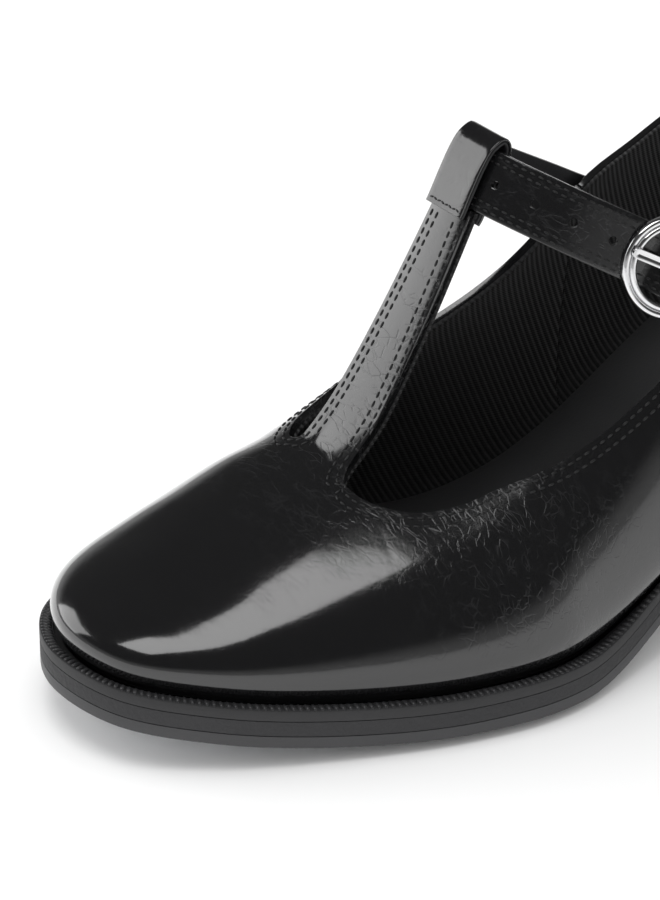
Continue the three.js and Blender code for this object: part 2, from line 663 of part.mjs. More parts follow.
// One side's columns of a shell that lies between two depths.
function shellColumns(side, outerDepth, innerDepth, withMargin) {
  const columnAt = (u, top, closed) => {
    const between = (rise) => [skin(side, u, rise, outerDepth(u)), skin(side, u, rise, innerDepth(u))];
    const low = [];
    for (let j = 0; j <= lowRows; j += 1) low.push(between(lowRise(top, j)));
    if (withMargin) low.unshift(...footRows(side, u));
    else low.unshift(liningFoot(side, u, outerDepth(u), innerDepth(u)));
    const cap = [];
    if (closed) for (let j = 0; j <= capRows; j += 1) cap.push(between(capRise(side, u, j)));
    return { low, cap };
  };
  const forepart = [];
  for (let i = 0; i <= throatSteps; i += 1) forepart.push(columnAt(forepartU(i), crestRise(side, forepartU(i)), true));
  const wing = wingU.map((u) => columnAt(u, toplineRise(side, u), false));
  return { forepart, wing };
}

// The bottom edge of a lining, standing on the upper's turned-in margin.
function liningFoot(side, u, outerDepth, innerDepth) {
  const level = (p) => new THREE.Vector3(p.x, p.y, deck(p.y) + insoleBottom);
  return [level(foot(side, u, outerDepth)), level(foot(side, u, innerDepth))];
}

const barSteps = [0.4, 1, 1.9, 3, 4.6, 6.6, 10, 17, 26, 37, 49];
const barBlend = 14; // length over which the vamp's curve turns into the flat T-bar

// The throat's row of the vamp, from its medial corner to its lateral corner.
const throatRow = [];
for (let j = 0; j <= capRows; j += 1) throatRow.push([-1, capRise(-1, throatU, j)]);
for (let j = capRows - 1; j >= 0; j -= 1) throatRow.push([1, capRise(1, throatU, j)]);

// A row of the T-bar, so far from the throat, with one point for each of the throat's row.
function barRow(distance, outerDepth, innerDepth) {
  const centre = barLine.getPointAt(Math.min(1, distance / barLine.getLength()));
  const tangent = barLine.getTangentAt(Math.min(1, distance / barLine.getLength()));
  const face = sideways.clone().cross(tangent).normalize();
  const flat = smooth(distance / barBlend);
  const low = wallPoint(-1, throatU, throatRow[0][1]).x;
  const high = wallPoint(1, throatU, throatRow[throatRow.length - 1][1]).x;
  return throatRow.map(([side, rise]) => {
    const start = wallPoint(side, throatU, rise);
    const share = (start.x - low) / (high - low);
    const x = mix(centre.x - barHalf(-1, distance), centre.x + barHalf(1, distance), share);
    const dome = 0.5 * (2 * share - 1) ** 2 * flat;
    const sag = start.sub(throatTop).multiplyScalar(1 - flat);
    const point = new THREE.Vector3(x, centre.y + sag.y, centre.z + sag.z).addScaledVector(face, -dome);
    const out = wallNormal(side, throatU, rise).lerp(face, smooth(distance / 6)).normalize();
    return [point.clone().addScaledVector(out, -outerDepth), point.clone().addScaledVector(out, -innerDepth)];
  });
}

function vampShell(outerDepth, innerDepth, withMargin) {
  const sheet = new Sheet();
  const medial = shellColumns(-1, outerDepth, innerDepth, withMargin);
  const lateral = shellColumns(1, outerDepth, innerDepth, withMargin);
  const low = [...[...medial.forepart, ...medial.wing].reverse(), ...[...lateral.forepart, ...lateral.wing].slice(1)];
  sheet.addGrid(low.map((column) => column.low));
  const cap = [...medial.forepart.slice().reverse(), ...lateral.forepart.slice(1)];
  sheet.addGrid(cap.map((column) => column.cap));
  const depths = [outerDepth(throatU), innerDepth(throatU)];
  const rows = [throatRow.map(([side, rise]) => depths.map((depth) => skin(side, throatU, rise, depth)))];
  for (const distance of barSteps) rows.push(barRow(distance, ...depths));
  rows.push(barRow(barLine.getLength(), ...depths));
  sheet.addGrid(rows, true);
  return sheet.geometry();
}
add('vamp', vampShell(() => 0, () => upperThickness, true), materials.patent);

// Lining lies against the upper, and further in where a stiffener lies between them.
function stiffened(u) {
  const station = spineStation(u) / along;
  return Math.max(smooth((66 - station) / 14), smooth((station - 198) / 16));
}
const liningOuter = (u) => upperThickness + liningGap + stiffened(u) * (stiffenerThickness + seatGap);
const liningInner = (u) => liningOuter(u) + liningThickness;
add('vamp_lining', vampShell(liningOuter, liningInner, false), materials.lining);

// Columns of the quarters, from the side seam to the back seam, closer together at the back.
const quarterSteps = 16;
const quarterU = [];
for (let i = 0; i <= quarterSteps; i += 1) {
  const share = 1 - (1 - i / quarterSteps) ** 1.2;
  quarterU.push(mix(uAt(sideSeamStation) + clearance / lateralLine.total, 1, share));
}

// Columns that meet at the back seam stop half a gap short of it.
function parted(side, u, pairs) {
  if (u < 1) return pairs;
  return pairs.map((pair) => pair.map((point) => point.setX(side * clearance * 0.5)));
}

function quarterShell(side, outerDepth, innerDepth, withMargin) {
  const grid = quarterU.map((u) => {
    const top = toplineRise(side, u);
    const column = [];
    for (let j = 0; j <= lowRows; j += 1) {
      const rise = lowRise(top, j);
      column.push([skin(side, u, rise, outerDepth(u)), skin(side, u, rise, innerDepth(u))]);
    }
    if (withMargin) column.unshift(...footRows(side, u));
    else column.unshift(liningFoot(side, u, outerDepth(u), innerDepth(u)));
    return parted(side, u, column);
  });
  return new Sheet().addGrid(grid).geometry();
}
const sides = [['lateral', 1], ['medial', -1]];
for (const [word, side] of sides) {
  add(`quarter_${word}`, quarterShell(side, () => 0, () => upperThickness, true), materials.patent);
  add(`quarter_lining_${word}`, quarterShell(side, liningOuter, liningInner, false), materials.lining);
}

// A patch over part of the same columns and rows as the upper, between two depths.
function wrap(columns, fromRow, toRow, outerDepth, innerDepth, topOf) {
  const column = (side, u) => {
    const pairs = [];
    for (let j = fromRow; j <= toRow; j += 1) {
      const rise = lowRise(topOf(side, u), j);
      pairs.push([skin(side, u, rise, outerDepth), skin(side, u, rise, innerDepth)]);
    }
    return pairs;
  };
  const medial = columns.map((u) => column(-1, u));
  const lateral = columns.map((u) => column(1, u)).reverse();
  return [...medial, ...lateral.slice(1)];
}
const stiffenerOuter = upperThickness + seatGap;
const stiffenerInner = stiffenerOuter + stiffenerThickness;

// The toe puff also covers the crown between the two sides.
const puffU = [];
for (let i = Math.round(throatSteps * 0.6); i >= 0; i -= 1) puffU.push(forepartU(i));
const puffCrown = [-1, 1].flatMap((side) => {
  const columns = puffU.map((u) => {
    const pairs = [];
    for (let j = 0; j <= capRows; j += 1) {
      const rise = capRise(side, u, j);
      pairs.push([skin(side, u, rise, stiffenerOuter), skin(side, u, rise, stiffenerInner)]);
    }
    return pairs;
  });
  return side < 0 ? columns : columns.reverse().slice(1);
});
const puff = new Sheet();
puff.addGrid(wrap(puffU, 2, lowRows, stiffenerOuter, stiffenerInner, crestRise));
puff.addGrid(puffCrown);
add('toe_puff', puff.geometry(), materials.board);

const counterU = quarterU.filter((u) => spineStation(u) > 216 * along);
const counter = new Sheet().addGrid(wrap(counterU, 2, lowRows - 1, stiffenerOuter, stiffenerInner, toplineRise));
add('heel_counter', counter.geometry(), materials.board);
const backStripThickness = 1;
const backStrip = wrap(quarterU.slice(-3), 2, lowRows, -clearance - backStripThickness, -clearance, toplineRise);
add('back_strip', new Sheet().addGrid(backStrip).geometry(), materials.patent);

// ---------------------------------------------------------------- strap loop
// Drawn with x out of the T-bar's face and y up along it, from the T-bar's end.
const barStack = liningOuter(throatU) + liningThickness;
const loopThickness = 1.5;
const loopHalf = loopThickness / 2;
const loopLap = 2.4; // the loop's legs hold the T-bar's end between them
const frontLeg = clearance + loopHalf;
const backLeg = -barStack - 0.5 - clearance - loopHalf;
const loopFront = 2.15 - loopHalf;
const loopBack = loopFront + loopThickness - loopDepth;
const loopTop = loopHeight - loopHalf;
const loopPath = new THREE.SplineCurve([
  [frontLeg, -loopLap], [frontLeg, -0.5], [mix(frontLeg, loopFront, 0.8), loopTop * 0.33], [loopFront, loopTop * 0.57],
  [loopFront - 0.4, loopTop * 0.8], [loopFront - 1.7, loopTop * 0.95], [mix(loopFront, loopBack, 0.52), loopTop],
  [loopBack + 1.1, loopTop * 0.95], [loopBack + 0.1, loopTop * 0.8], [loopBack, loopTop * 0.5],
  [mix(loopBack, backLeg, 0.25), loopTop * 0.14], [backLeg - 0.2, -0.6], [backLeg, -loopLap],
].map(([x, y]) => new THREE.Vector2(x, y)));
const loopShape = ribbonShape(loopPath, loopThickness, 40);
const loopStart = barEnd.clone().addScaledVector(sideways, loopWidth / 2);
const loopGeometry = new THREE.ExtrudeGeometry(loopShape, { depth: loopWidth, bevelEnabled: false });
add('strap_loop', place(loopGeometry, barOut, barUp, sideways.clone().negate(), loopStart), materials.patent);

// ---------------------------------------------------------------- the run of the strap and the buckle
// Flat curves are drawn with x across the shoe and y outwards from the strap's origin.
const strapX = barEnd.x;
const flatPoint = (x, out) => new THREE.Vector2(x, out);

// The side of the upper at a point given by its outward and upward distances: its x, moved out by lift.
function wallX(side, out, up, lift) {
  const goal = onStrapPlane(0, out, up);
  let u = uAt(goal.y / along);
  let rise = 0;
  for (let pass = 0; pass < 4; pass += 1) {
    rise = riseFor(side, u, goal.z - deck(goal.y));
    const here = wallPoint(side, u, rise).y;
    const ahead = wallPoint(side, u + 0.004, rise).y;
    u += (0.004 * (goal.y - here)) / (ahead - here);
  }
  const normal = wallNormal(side, u, rise);
  return wallPoint(side, u, rise).x + lift / normal.x;
}
const onWall = (side, out, lift) => flatPoint(wallX(side, out, 0, lift), out);

// Where the middle of the strap passes the topline of each quarter.
const rootOut = { 1: flatOf(wallCrossing(1, 0)), '-1': flatOf(wallCrossing(-1, 0)) };
function flatOf({ u, rise }) {
  return wallPoint(1, u, rise).setX(0).sub(strapOrigin).dot(barOut);
}

const buckleCentre = flatPoint(30.4 * across, -34.2);
const lateralRoot = onWall(1, rootOut[1] - 4, 3);
const buckleRun = lateralRoot.clone().sub(flatPoint(21.6 * across, -20.5)).normalize(); // along the strap at the buckle
const buckleOut = flatPoint(-buckleRun.y, buckleRun.x);
const atBuckle = (run, out) => buckleCentre.clone().addScaledVector(buckleRun, run).addScaledVector(buckleOut, out);

// Levels across the buckle, measured out from the middle plane of its ring.
const ringOuter = buckleDiameter / 2;
const ringInner = ringOuter - buckleBand;
const halfThick = buckleThickness / 2;
const barRadius = barDiameter / 2;
const barAt = 4.6; // from the ring's centre towards the strap's tip
const barLevel = -0.6;
const eyeInner = barRadius + clearance;
const eyeOuter = eyeInner + 0.9;
const strapUnder = -halfThick - clearance - strapStack / 2 - 0.15;
const strapOver = barLevel + eyeOuter + clearance + strapStack / 2 + 0.1;
const chapeLevel = barLevel - barRadius - 0.25 - chapeThickness / 2;
const strapCross = 5; // the strap crosses the ring's plane within this distance of its centre
const strapLevel = (run) => mix(strapUnder, strapOver, smooth((run + strapCross) / (2 * strapCross)));

// The strap from the medial quarter, through the loop, under and over the ring, to the lateral quarter.
const medialLift = clearance + strapStack / 2 + 0.6;
const tipLift = clearance + chapeThickness + clearance + strapStack / 2 + 0.2;
const strapEnds = {
  medial: [-20, -12, -4].map((beyond) => onWall(-1, rootOut[-1] + beyond, medialLift)),
  lateral: [-6, -11, -18].map((beyond) => onWall(1, rootOut[1] + beyond, tipLift)),
};
const strapMiddle = [
  [-12.9, -17.5], [-10.3, -7.5], [-6.2, -2.4], [0, -1.5], [6.2, -2], [10.5, -3.6], [17.2, -8.6], [24, -14.8],
].map(([x, out]) => flatPoint(strapX + x * across, out));
const buckleRuns = [-11.5, -8.5, -6.5, -5, -3.5, -2, 0, 2, 3.5, 5, 6.5, 9, 12];
const strapPath = new THREE.SplineCurve([
  ...strapEnds.medial, ...strapMiddle, ...buckleRuns.map((run) => atBuckle(run, strapLevel(run))),
  atBuckle(15.5, strapOver - 1.1), ...strapEnds.lateral,
]);
strapPath.arcLengthDivisions = 800;
const strapLength = strapPath.getLength();

// Distance along the strap of its point nearest to a goal.
function distanceTo(goal) {
  let best = 0;
  for (let k = 0; k <= 800; k += 1) {
    if (strapPath.getPointAt(k / 800).distanceTo(goal) < strapPath.getPointAt(best).distanceTo(goal)) best = k / 800;
  }
  return best * strapLength;
}
const barRun = distanceTo(atBuckle(barAt, strapLevel(barAt)));
const tipSplit = distanceTo(atBuckle(ringOuter + 1.6, strapOver)); // the free tip bends here
const strapTotal = Math.min(strapLength - 1, barRun + strapTipLength);

// A strip along a flat curve. Near the quarters it also follows the lean of the quarter across its width.
function stripSheet(path, from, to, width, high, low, steps) {
  const grid = [];
  for (let i = 0; i <= steps; i += 1) {
    const t = mix(from, to, i / steps);
    const point = path.getPointAt(t);
    const tangent = path.getTangentAt(t);
    const side = point.x > strapX ? 1 : -1;
    const share = smooth((rootOut[side] + 7 - point.y) / 9);
    const middle = share > 0 ? wallX(side, point.y, 0, 0) : 0;
    const row = [];
    for (let j = 0; j <= 4; j += 1) {
      const up = width * (0.5 - j / 4);
      const lean = share > 0 ? share * (wallX(side, point.y, up, 0) - middle) : 0;
      const place3 = (level) => onStrapPlane(point.x - tangent.y * level + lean, point.y + tangent.x * level, up);
      row.push([place3(high), place3(low)]);
    }
    grid.push(row);
  }
  return new Sheet().addGrid(grid).geometry();
}
const strapStrip = (from, to, high, low, steps) => (
  stripSheet(strapPath, from / strapLength, to / strapLength, strapWidth, high, low, steps)
);

// Stands a cutter on the strap, so far along it: its x along the strap, its y out of the strap's face.
function onStrap(geometry, run) {
  const t = run / strapLength;
  const point = strapPath.getPointAt(t);
  const tangent = strapPath.getTangentAt(t);
  const a = onStrapPlane(tangent.x, tangent.y).sub(onStrapPlane(0, 0));
  const b = onStrapPlane(-tangent.y, tangent.x).sub(onStrapPlane(0, 0));
  return place(geometry, a, b, a.clone().cross(b), onStrapPlane(point.x, point.y));
}
const strapCutter = (run, radius) => onStrap(new THREE.CylinderGeometry(radius, radius, strapStack + 3, 12), run);
function slotCutter(run, length) {
  const radius = prongWidth / 2 + 0.4;
  const reach = length / 2 - radius;
  const shape = new THREE.Shape();
  shape.absarc(reach, 0, radius, -Math.PI / 2, Math.PI / 2, false);
  shape.absarc(-reach, 0, radius, Math.PI / 2, Math.PI * 1.5, false);
  const depth = strapStack + 6;
  const geometry = new THREE.ExtrudeGeometry(shape, { depth, bevelEnabled: false, curveSegments: 6 });
  return onStrap(geometry.translate(0, 0, -depth / 2).rotateX(Math.PI / 2), run);
}
const slotFrom = distanceTo(atBuckle(-2.6, strapLevel(-2.6)));
const slotTo = distanceTo(atBuckle(barAt + 1.9, strapLevel(barAt + 1.9)));
const holeCutters = () => {
  const cutters = [slotCutter((slotFrom + slotTo) / 2, slotTo - slotFrom)];
  const first = distanceTo(atBuckle(-ringOuter - 2.6, strapUnder));
  for (let k = 0; k < strapHoleCount; k += 1) cutters.push(strapCutter(first - k * strapHolePitch, strapHoleDiameter / 2));
  return cutters;
};
const faceHigh = strapStack / 2;
const faceLow = faceHigh - strapThickness;
const strapEnd = tipSplit - clearance / 2;
add('cross_strap', cut(strapStrip(0, strapEnd, faceHigh, faceLow, 52), holeCutters()), materials.patent);
const strapLining = strapStrip(0, strapEnd, faceLow - seatGap, -faceHigh, 52);
add('cross_strap_lining', cut(strapLining, holeCutters()), materials.leatherLining);

// The free tip has a rounded end, cut by a plate with a half-round notch.
function tipCutter() {
  const point = strapPath.getPointAt(strapTotal / strapLength);
  const tangent = strapPath.getTangentAt(strapTotal / strapLength);
  const half = strapWidth / 2;
  const shape = new THREE.Shape();
  shape.moveTo(6, -half - 2);
  shape.lineTo(-half, -half - 2);
  shape.lineTo(-half, -half);
  shape.absarc(-half, 0, half, -Math.PI / 2, Math.PI / 2, false);
  shape.lineTo(-half, half + 2);
  shape.lineTo(6, half + 2);
  shape.closePath();
  const geometry = new THREE.ExtrudeGeometry(shape, { depth: 14, bevelEnabled: false, curveSegments: 10 });
  const a = onStrapPlane(tangent.x, tangent.y).sub(onStrapPlane(0, 0));
  const c = a.clone().cross(barUp);
  return place(geometry, a, barUp, c, onStrapPlane(point.x, point.y).addScaledVector(c, -7));
}
add('strap_tip', cut(strapStrip(tipSplit + clearance / 2, strapTotal, faceHigh, -faceHigh, 14), [tipCutter()]), materials.patent);

// ---------------------------------------------------------------- buckle and its chape
// The chape is a tab sewn to the lateral quarter, with an eye round the buckle's bar.
const chapePath = new THREE.SplineCurve([
  atBuckle(barAt, chapeLevel), atBuckle(8, chapeLevel), atBuckle(11.5, chapeLevel),
  ...[-1, -6, -12, -18].map((beyond) => onWall(1, rootOut[1] + beyond, clearance + chapeThickness / 2 + 0.1)),
]);
const chapeWidth = strapWidth - 1;
const eyeWidth = 10;
const barCentre = atBuckle(barAt, barLevel);
const disc = (radius) => {
  const shape = new THREE.Shape();
  shape.absarc(barCentre.x, barCentre.y, radius, 0, 2 * Math.PI, false);
  return shape;
};
// A flat shape in the strap's plane, made so deep along the bar.
function deep(shape, depth) {
  const geometry = new THREE.ExtrudeGeometry(shape, { depth, bevelEnabled: false, curveSegments: 12 });
  return toSolid(place(geometry, sideways, barOut, barUp.clone().negate(), onStrapPlane(0, 0, depth / 2)));
}
const half = chapeThickness / 2;
const tab = toSolid(stripSheet(chapePath, 0, 1, chapeWidth, half, -half, 22));
const chape = tab.add(deep(disc(eyeOuter), eyeWidth)).subtract(deep(disc(eyeInner), chapeWidth + 4))
  .subtract(deep(disc(eyeOuter + 1.6), prongWidth + 2 * clearance));
add('buckle_chape', fromSolid(chape), materials.patent);

// The frame is a grooved ring with a bar across it, one casting.
const ringSection = [
  [ringInner, 0.5 - halfThick], [ringInner + 0.5, -halfThick], [ringOuter - 0.5, -halfThick], [ringOuter, 0.5 - halfThick],
  [ringOuter, halfThick - 0.6], [ringOuter - 0.5, halfThick], [ringOuter - 1.1, halfThick], [ringOuter - buckleBand / 2, halfThick - 0.5],
  [ringInner + 1.1, halfThick], [ringInner + 0.5, halfThick], [ringInner, halfThick - 0.5], [ringInner, 0.5 - halfThick],
].map(([r, h]) => new THREE.Vector2(r, h));
const runAxis = onStrapPlane(buckleRun.x, buckleRun.y).sub(onStrapPlane(0, 0));
const outAxis = onStrapPlane(buckleOut.x, buckleOut.y).sub(onStrapPlane(0, 0));
const widthAxis = runAxis.clone().cross(outAxis); // along the bar
const ringLathe = new THREE.LatheGeometry(ringSection, 40);
const ringSolid = toSolid(place(ringLathe, runAxis, outAxis, widthAxis, onStrapPlane(buckleCentre.x, buckleCentre.y)));
const barLength = 2 * (Math.sqrt(ringInner ** 2 - barAt ** 2) + buckleBand * 0.4);
const bar = new THREE.CylinderGeometry(barRadius, barRadius, barLength, 14);
const barSolid = toSolid(place(bar, outAxis, widthAxis, runAxis, onStrapPlane(barCentre.x, barCentre.y)));
add('buckle_frame', fromSolid(ringSolid.add(barSolid)), materials.chrome);

// The prong: an eye round the bar and a flat tongue that rests on the far rim.
const restLevel = halfThick + clearance + prongThickness / 2;
const prongPath = new THREE.SplineCurve([
  atBuckle(barAt - 0.8, barLevel + eyeInner + 0.3), atBuckle(0, 1.2), atBuckle(-4.5, 1.75),
  atBuckle(-ringInner, restLevel), atBuckle(0.8 - ringOuter, restLevel + 0.05),
]);
const tongue = deep(ribbonShape(prongPath, prongThickness, 14), prongWidth);
const prong = tongue.add(deep(disc(eyeOuter + 0.1), prongWidth)).subtract(deep(disc(eyeInner), prongWidth + 2));
add('buckle_prong', fromSolid(prong), materials.chrome);

// ---------------------------------------------------------------- the shoe stands centred on its origin
const bounds = new THREE.Box3().setFromObject(shoe);
shoe.position.set(-(bounds.min.x + bounds.max.x) / 2, -(bounds.min.y + bounds.max.y) / 2, 0);

export default shoe;
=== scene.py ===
import math
import bpy
import numpy as np
from mathutils import Matrix, Vector
from mathutils.bvhtree import BVHTree


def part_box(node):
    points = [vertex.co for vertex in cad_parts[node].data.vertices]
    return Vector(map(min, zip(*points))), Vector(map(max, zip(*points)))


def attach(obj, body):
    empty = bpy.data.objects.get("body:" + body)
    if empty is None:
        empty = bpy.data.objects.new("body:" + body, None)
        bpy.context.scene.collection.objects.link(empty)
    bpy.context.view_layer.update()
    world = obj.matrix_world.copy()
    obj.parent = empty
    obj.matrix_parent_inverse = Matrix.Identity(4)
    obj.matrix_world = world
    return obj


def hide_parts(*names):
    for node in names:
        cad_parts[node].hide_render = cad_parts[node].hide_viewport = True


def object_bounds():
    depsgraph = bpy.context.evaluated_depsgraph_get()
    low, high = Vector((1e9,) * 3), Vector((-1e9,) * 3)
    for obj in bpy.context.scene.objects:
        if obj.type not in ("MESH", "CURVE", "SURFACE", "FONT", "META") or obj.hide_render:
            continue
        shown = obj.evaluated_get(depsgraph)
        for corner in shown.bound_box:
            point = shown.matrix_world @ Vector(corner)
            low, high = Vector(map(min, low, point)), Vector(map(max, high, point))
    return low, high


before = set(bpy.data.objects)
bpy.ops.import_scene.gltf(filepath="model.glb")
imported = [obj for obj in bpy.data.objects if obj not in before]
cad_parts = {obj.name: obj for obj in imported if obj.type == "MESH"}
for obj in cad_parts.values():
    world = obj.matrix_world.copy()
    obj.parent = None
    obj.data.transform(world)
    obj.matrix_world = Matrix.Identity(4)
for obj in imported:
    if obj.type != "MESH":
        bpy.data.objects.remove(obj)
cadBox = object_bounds()
mm = 0.001
bpy.ops.object.select_all(action="DESELECT")
print("frame loaded")

# The camera looks down on the toe from the outer side, with a long lens.
cameraSet = {"aim": (4.77, -59.15, 42.0), "azimuth": 55.1, "elevation": 28.4, "distance": 900.0,
             "lens": 159.66, "panRight": -0.01065, "panUp": 0.01348}


def makeCamera(values):
    around, above = math.radians(values["azimuth"]), math.radians(values["elevation"])
    back = Vector((math.sin(around) * math.cos(above), -math.cos(around) * math.cos(above), math.sin(above)))
    right = Vector((math.cos(around), math.sin(around), 0))
    up = back.cross(right)
    bpy.ops.object.camera_add(location=(Vector(values["aim"]) + back * values["distance"]) * mm)
    camera = bpy.context.object
    camera.name = "viewCamera"
    camera.data.lens = values["lens"]
    camera.data.sensor_width = 36
    camera.data.clip_start = 0.05
    camera.data.clip_end = 30
    look = -back + right * values["panRight"] + up * values["panUp"]
    camera.rotation_mode = "QUATERNION"
    camera.rotation_quaternion = look.to_track_quat("-Z", "Y")
    bpy.context.scene.camera = camera


makeCamera(cameraSet)

# The last, in millimetres. Stations run from the toe to the heel, and x towards the outer side.
last = {
    "length": 266.0, "width": 96.0, "heelHeight": 44.0, "toeSpring": 8.8, "tap": 2.0,
    "outsole": 2.8, "midsole": 3.6, "welt": 2.6, "seatGap": 0.2, "lastedGap": 0.35,
    "weltWidth": 5.0, "waistWelt": 2.4, "upper": 1.4, "lining": 0.9, "stiffener": 0.8, "liningGap": 0.4,
    "clearance": 0.3, "insole": 2.4, "sock": 2.2, "bulge": 3.6, "throat": 72.0, "sideSeam": 150.0,
    "crossPower": 0.85, "risePower": 0.9, "fanReach": 34.0, "fanFade": 40.0,
}
outlineOuter = [(14, 4), (28.4, 20.6), (40.8, 45.7), (51, 76), (53.4, 100), (43.5, 136), (36.6, 170), (33.5, 205),
    (31, 238), (18, 260)]
outlineInner = [(-23.7, 6.9), (-35.8, 20.2), (-42.3, 50), (-42.6, 80), (-38.6, 106), (-27.5, 138), (-27, 170), (-30,
    205), (-30, 238), (-18, 260)]
crownOuter = [(0, 10), (34, 23), (48, 29.3), (60, 34.2), (72, 38), (88, 41.6), (99, 45), (111, 50), (130, 57),
              (141, 61), (160, 72), (186, 86), (232, 104), (266, 104)]
crownInner = [(0, 10), (34, 23), (48, 29.3), (60, 34.2), (72, 38), (86, 45.8), (100, 55.5), (117, 66), (142, 76),
              (160, 84), (186, 92), (232, 104), (266, 104)]
toplineOuter = [(72, 34.2), (88, 35.2), (99, 37.8), (111, 40.3), (130, 43), (141, 43.5), (170, 44.5), (200, 47),
    (266, 55)]
toplineInner = [(72, 37.2), (84, 40.5), (92, 43.5), (100, 47), (117, 53.2), (142, 57), (170, 55), (200, 50), (266, 55)]
spineSide = [(0, -7), (34, -8.5), (70, -11), (100, -4), (140, 3), (200, 3), (266, 0)]
halfPi = math.pi / 2


def smooth(t):
    t = np.clip(t, 0, 1)
    return t * t * (3 - 2 * t)


def mix(a, b, t):
    return a + (b - a) * t


# A smooth curve through station and value pairs, flat beyond its ends.
def curveOf(pairs):
    stations = np.array([p[0] for p in pairs], float)
    values = np.array([p[1] for p in pairs], float)
    slopes = np.zeros(len(pairs))
    slopes[1:-1] = (values[2:] - values[:-2]) / (stations[2:] - stations[:-2])

    def valueAt(station):
        s = np.clip(np.asarray(station, float), stations[0], stations[-1])
        k = np.clip(np.searchsorted(stations, s, side="right") - 1, 0, len(stations) - 2)
        span = stations[k + 1] - stations[k]
        t = (s - stations[k]) / span
        return ((2 * t**3 - 3 * t**2 + 1) * values[k] + (t**3 - 2 * t**2 + t) * span * slopes[k]
                + (3 * t**2 - 2 * t**3) * values[k + 1] + (t**3 - t**2) * span * slopes[k + 1])
    return valueAt


# The closed outline of the sole, sampled closely from the toe round the outer side.
def closedOutline(samples):
    points = np.array([(-6.0, 0.0), *outlineOuter, (0.0, 266.0), *outlineInner[::-1]], float)
    count = len(points)
    t = np.arange(samples) / samples * count
    k = np.floor(t).astype(int)
    w = (t - k)[:, None]
    p0, p1, p2, p3 = (points[(k + j) % count] for j in (-1, 0, 1, 2))
    d0, d1, d2 = (np.linalg.norm(b - a, axis=1)[:, None] ** 0.5 for a, b in ((p0, p1), (p1, p2), (p2, p3)))
    t1 = ((p1 - p0) / d0 - (p2 - p0) / (d0 + d1) + (p2 - p1) / d1) * d1
    t2 = ((p2 - p1) / d1 - (p3 - p1) / (d1 + d2) + (p3 - p2) / d2) * d1
    return p1 + t1 * w + (-3 * p1 + 3 * p2 - 2 * t1 - t2) * w**2 + (2 * p1 - 2 * p2 + t1 + t2) * w**3


outlineSamples = 22000
outline = closedOutline(outlineSamples)
outlineAlong = np.roll(outline, -10, axis=0) - np.roll(outline, 10, axis=0)
outlineAlong /= np.linalg.norm(outlineAlong, axis=1)[:, None]
heelSample = outlineSamples // 2
sideLines = {}
for side, order in ((1, np.arange(0, heelSample + 1)), (-1, (-np.arange(0, heelSample + 1)) % outlineSamples)):
    steps = np.linalg.norm(np.diff(outline[order], axis=0), axis=1)
    lengths = np.concatenate([[0], np.cumsum(steps)])
    sideLines[side] = (lengths / lengths[-1], outline[order], outlineAlong[order], lengths[-1])


# A point on the sole's edge, moved in by inset. u runs from 0 at the toe to 1 at the heel.
def edgeAt(side, u, inset=0.0):
    shares, points, alongs, _ = sideLines[side]
    u = np.clip(np.asarray(u, float), 0, 1)
    x, y = (np.interp(u, shares, points[:, k]) for k in (0, 1))
    tx, ty = (np.interp(u, shares, alongs[:, k]) for k in (0, 1))
    return x - ty * inset, y + tx * inset


def soleUnder(station):
    toe = np.maximum(0, (80 - station) / 80)
    return last["tap"] + last["toeSpring"] * toe**2 + (last["heelHeight"] - last["tap"]) * smooth((station - 105) / 105)


midsoleLevel = last["outsole"] + last["seatGap"]
weltLevel = midsoleLevel + last["midsole"] + last["seatGap"]
deckLevel = weltLevel + last["welt"]
marginLevel = last["lastedGap"] - last["seatGap"] - last["welt"]
insoleBottom = marginLevel + last["upper"] + last["clearance"]
insoleTop = insoleBottom + last["insole"]
sockBottom = insoleTop + last["seatGap"]
sockTop = sockBottom + last["sock"]
wallDepth = last["upper"] + last["stiffener"] + last["lining"] + last["seatGap"] + last["liningGap"] + last["clearance"]


def deckAt(station):
    return soleUnder(station) + deckLevel


def weltWidthAt(station):
    return mix(last["weltWidth"], last["waistWelt"], smooth((station - 108) / 34))


def footAt(side, u, inset=0.0):
    station = edgeAt(side, u)[1]
    return edgeAt(side, u, weltWidthAt(station) + inset)


def spineStation(u):
    station = (edgeAt(1, u)[1] + edgeAt(-1, u)[1]) / 2
    return station + last["fanReach"] * (np.exp(-station / last["fanFade"])
                                        - np.exp(-(last["length"] - station) / last["fanFade"]))


shareTable = np.linspace(0, 1, 4001)
spineTable = spineStation(shareTable)


def uAt(station):
    return np.interp(station, spineTable, shareTable)


crowns = {1: curveOf(crownOuter), -1: curveOf(crownInner)}
toplines = {1: curveOf(toplineOuter), -1: curveOf(toplineInner)}
spineX = curveOf(spineSide)


# The surface of the upper: u along the shoe, rise from the welt at 0 to the spine at a quarter turn.
def wallPoint(side, u, rise):
    u, rise = np.broadcast_arrays(np.asarray(u, float), np.asarray(rise, float))
    station = spineStation(u)
    baseX, baseY = footAt(side, u)
    crown = crowns[side](station)
    slope = (crowns[side](station + 0.5) - crowns[side](station - 0.5)) * smooth(2 - station / 60)
    up = np.sin(rise)
    height = crown * up ** last["risePower"]
    swell = last["bulge"] * (1 - np.exp(-height / 3)) * np.cos(rise)
    dx, dy = baseX - spineX(station), baseY - station
    reach = np.maximum(0, np.cos(rise)) ** last["crossPower"] + swell / np.hypot(dx, dy)
    y = station + dy * reach
    z = deckAt(y) + height + slope * (y - station) * up**2
    return np.stack([spineX(station) + dx * reach, y, z], -1)


def unit(v):
    return v / np.maximum(1e-12, np.linalg.norm(v, axis=-1, keepdims=True))


